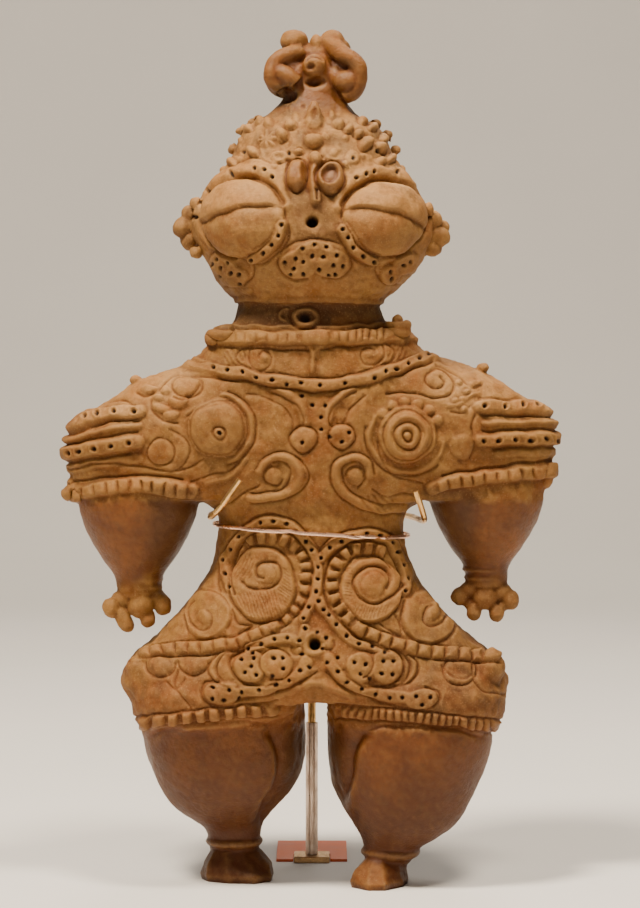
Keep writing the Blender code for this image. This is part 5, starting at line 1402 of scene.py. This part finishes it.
def clay_material():
    """Low-fired clay: ochre, fire-blackened and burnished in places, pale on its edges, with painted shade in
    its hollows, pits and gaps, a painted red floor glow low down, and painted top light on its upper parts.
    """
    g = Graph("clay_skin")
    hollow, edge, pit = g.layer("shade_and_edge_wear")
    soot_and_shade, rubbed, pale = g.layer("zones")
    patches = g.noise(0.045, detail=5, roughness=0.6)
    blotches = g.noise(0.014, detail=6, roughness=0.62, distortion=0.4)
    grain = g.noise(0.0016, detail=5, roughness=0.65)
    fine = g.noise(0.0006, detail=3, roughness=0.6)
    body = g.mix(g.ramp(patches, 0.35, 0.65), (0.165, 0.071, 0.013), (0.265, 0.128, 0.028))
    body = g.mix(g.ramp(blotches, 0.42, 0.68), body, (0.19, 0.060, 0.009))
    upper = g.mix(g.ramp(blotches, 0.36, 0.66), (0.40, 0.215, 0.072), (0.28, 0.118, 0.026))
    # Lighter, pinker clay of the upper parts, partly painted top light and foot highlights
    colour = g.mix(pale, body, upper)
    # Painted reflected light: below about 0.1 m the clay turns a dark red, as if lit from below by an orange
    # floor
    height = g.math("ADD", g.height_above_floor(), g.ramp(patches, 0.3, 0.7, -0.006, 0.006))
    colour = g.mix(g.ramp(height, 0.100, 0.072, 0.0, 0.65), colour, (0.16, 0.042, 0.007))
    burnished = g.mix(g.ramp(blotches, 0.38, 0.66), (0.105, 0.028, 0.0045), (0.21, 0.068, 0.011))
    # Painted shade and floor glow: the burnished legs and feet grow darker and redder towards the floor
    burnished = g.mix(g.ramp(height, 0.072, 0.030, 0.15, 0.9), burnished, (0.042, 0.0085, 0.0016))
    colour = g.mix(g.math("MULTIPLY", rubbed, 0.94), colour, burnished)
    # Fire-blackening and the painted shade in the same mask turn the clay near black
    smoke_and_shade = g.math("MULTIPLY", soot_and_shade, g.ramp(blotches, 0.25, 0.6, 0.6, 0.95))
    colour = g.mix(smoke_and_shade, colour, (0.026, 0.015, 0.007))
    stain = g.ramp(g.noise(0.007, detail=6, roughness=0.72), 0.52, 0.68, 0.0, 0.5)
    colour = g.mix(stain, colour, (0.065, 0.026, 0.007))
    bloom = g.ramp(g.noise(0.010, detail=6, roughness=0.7, distortion=0.3), 0.54, 0.70, 0.0, 0.35)
    colour = g.mix(g.math("MULTIPLY", bloom, g.math("SUBTRACT", 1.0, rubbed)), colour, (0.40, 0.21, 0.065))
    # Painted shade: the hollows are darkened towards a deep red-brown
    colour = g.mix(g.math("MULTIPLY", hollow, 0.60), colour, (0.085, 0.021, 0.003))
    colour = g.mix(g.math("MULTIPLY", edge, g.ramp(grain, 0.35, 0.65, 0.15, 0.5)), colour,
                   (0.42, 0.225, 0.075))
    colour = g.mix(g.ramp(grain, 0.3, 0.72, 0.0, 0.40), colour, (0.07, 0.026, 0.006))
    specks = g.math("SUBTRACT", g.ramp(fine, 0.58, 0.68, 0.0, 0.26), g.math("MULTIPLY", rubbed, 0.2))
    colour = g.mix(g.math("MAXIMUM", specks, 0.0), colour, (0.46, 0.27, 0.11))
    # Painted shade: the pricked pits are darkened almost to black
    colour = g.mix(g.math("MULTIPLY", pit, 0.93), colour, (0.008, 0.004, 0.002))
    g.set("Base Color", colour)
    dull = g.ramp(blotches, 0.3, 0.7, 0.60, 0.78)
    polish = g.math("MULTIPLY", rubbed, g.ramp(grain, 0.3, 0.7, 0.34, 0.22))
    g.set("Roughness", g.math("ADD", g.math("SUBTRACT", dull, polish), g.math("MULTIPLY", hollow, 0.12)))
    g.set("Specular IOR Level", 0.22)
    normal = g.bump(g.noise(0.004, detail=6, roughness=0.65), 0.0008, 0.6)
    g.set("Normal", g.bump(grain, 0.00045, 0.7, normal))
    return g.material


def metal_material(name, light, dark, roughness, stretch, dull=(0.16, 0.10, 0.06), dulled=0.45):
    """Drawn wire or bar: fine lines along it, and patches that have gone dull."""
    g = Graph(name)
    lines = g.noise(0.0005, detail=3, stretch=stretch)
    patches = g.noise(0.006, detail=5, roughness=0.65)
    colour = g.mix(g.ramp(lines, 0.3, 0.7), light, dark)
    colour = g.mix(g.ramp(patches, 0.48, 0.72, 0.0, dulled), colour, dull)
    g.set("Base Color", colour)
    g.set("Metallic", 1.0)
    g.set("Roughness", g.math("ADD", g.ramp(patches, 0.35, 0.7, roughness, roughness + 0.22),
                              g.ramp(lines, 0.3, 0.7, -0.05, 0.05)))
    g.set("Normal", g.bump(lines, 0.00006, 0.5))
    return g.material


def plate_material():
    """The orange lacquer of the base plate: a low orange-peel skin, with dust."""
    g = Graph("plate_lacquer")
    patches = g.noise(0.012, detail=4)
    dust = g.noise(0.0012, detail=6, roughness=0.7)
    colour = g.mix(g.ramp(patches, 0.35, 0.65), (0.62, 0.10, 0.022), (0.72, 0.145, 0.035))
    colour = g.mix(g.ramp(dust, 0.58, 0.75, 0.0, 0.4), colour, (0.66, 0.36, 0.22))
    g.set("Base Color", colour)
    g.set("Roughness", g.ramp(patches, 0.3, 0.7, 0.42, 0.58))
    g.set("Normal", g.bump(g.noise(0.0009, detail=2), 0.00005, 0.6))
    return g.material


def dress(node, surface):
    """Gives a node of the frame a material in each of its slots."""
    if not node.material_slots:
        node.data.materials.append(surface)
    for slot in node.material_slots:
        slot.material = surface


# Studio

def stage_material():
    g = Graph("studio_paper")
    tone = g.noise(0.35, detail=3)
    g.set("Base Color", g.mix(g.ramp(tone, 0.3, 0.7), (0.66, 0.64, 0.60), (0.70, 0.68, 0.64)))
    g.set("Roughness", g.ramp(g.noise(0.004, detail=4), 0.3, 0.7, 0.82, 0.92))
    g.set("Normal", g.bump(g.noise(0.0015, detail=3), 0.0001, 0.3))
    return g.material


def make_floor(offset):
    """A sheet of pale paper: a floor that sweeps up into a wall behind."""
    wide, front, back, rise, bend = 2.6, -1.9, 1.1, 2.4, 0.7
    turn = np.radians(np.linspace(-90, 0, 17))
    profile = [(front, 0.0)]
    profile += [(back + bend * np.cos(a), bend + bend * np.sin(a)) for a in turn]
    profile.append((back + bend, rise))
    form = bmesh.new()
    rows = [[form.verts.new((offset.x + side * wide, offset.y + y, z)) for y, z in profile] for side in (-1,
                                                                                                         1)]
    for i in range(len(profile) - 1):
        form.faces.new((rows[0][i], rows[1][i], rows[1][i + 1], rows[0][i + 1]))
    mesh = mesh_from(form, "studio_floor")
    mesh.shade_smooth()
    mesh.materials.append(stage_material())
    floor = bpy.data.objects.new("studio_floor", mesh)
    bpy.context.scene.collection.objects.link(floor)


def area_light(name, place, aim, size, power, colour):
    data = bpy.data.lights.new(name, "AREA")
    data.shape = "SQUARE"
    data.size = size
    data.energy = power
    data.color = colour
    light = bpy.data.objects.new(name, data)
    light.location = place
    light.rotation_euler = (Vector(aim) - Vector(place)).to_track_quat("-Z", "Y").to_euler()
    bpy.context.scene.collection.objects.link(light)


def make_lights(centre):
    aim = (centre.x, centre.y, 0.19)
    warm, neutral = (1.0, 0.86, 0.70), (1.0, 0.93, 0.85)
    area_light("key_light", (centre.x - 0.48, centre.y - 0.48, 1.42), aim, 0.24, 43, warm)
    area_light("second_light", (centre.x + 0.34, centre.y - 0.40, 1.46), aim, 0.26, 24, warm)
    area_light("fill_light", (centre.x - 0.1, centre.y - 1.8, 0.7), aim, 1.0, 3.0, warm)
    area_light("back_light", (centre.x + 0.2, centre.y + 0.7, 1.1), aim, 0.5, 5, neutral)
    world = bpy.data.worlds.new("studio_air")
    world.use_nodes = True
    world.node_tree.nodes["Background"].inputs["Color"].default_value = (0.84, 0.82, 0.80, 1)
    world.node_tree.nodes["Background"].inputs["Strength"].default_value = 0.2
    bpy.context.scene.world = world


def make_camera(offset, scale):
    data = bpy.data.cameras.new("photo_camera")
    data.sensor_fit = "VERTICAL"
    data.sensor_height = SENSOR_HEIGHT
    data.lens = LENS
    camera = bpy.data.objects.new("photo_camera", data)
    camera.location = Vector(EYE_POINT) * scale + Vector((offset.x, offset.y, 0))
    camera.rotation_euler = Euler((np.radians(90 - TILT_DOWN), 0, 0))
    bpy.context.scene.collection.objects.link(camera)
    bpy.context.scene.camera = camera


def main():
    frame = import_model()
    nodes = frame["nodes"]
    clay_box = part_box("figurine")
    scale = (clay_box[1].z - clay_box[0].z) / DESIGN_HEIGHT
    tube_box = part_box("stand_tube")
    middle = (tube_box[0] + tube_box[1]) / 2
    offset = Vector((middle.x - POST[0] * scale, middle.y - POST[1] * scale, 0))

    clay = make_clay(clay_box, offset)
    clay.data.materials.clear()
    clay.data.materials.append(clay_material())
    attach(clay, "root")
    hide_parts("figurine")

    brass = metal_material("brass_wire", (0.78, 0.50, 0.20), (0.66, 0.38, 0.13), 0.24, (1, 1, 0.12))
    dress(nodes["stand_rod_and_cradle"], brass)
    bar = metal_material("brass_bar", (0.62, 0.40, 0.19), (0.46, 0.27, 0.12), 0.3, (1, 0.1, 1))
    dress(nodes["stand_foot_bar"], bar)
    tube = metal_material("tube_skin", (0.72, 0.60, 0.50), (0.55, 0.41, 0.31), 0.3, (1, 1, 0.08),
                          dull=(0.36, 0.20, 0.12))
    dress(nodes["stand_tube"], tube)
    wire = metal_material("copper_wire", (0.86, 0.60, 0.44), (0.76, 0.44, 0.29), 0.2, (0.12, 0.12, 1))
    dress(nodes["waist_wire"], wire)
    dress(nodes["stand_base_plate"], plate_material())

    make_floor(offset)
    make_lights(offset)
    make_camera(offset, scale)


main()
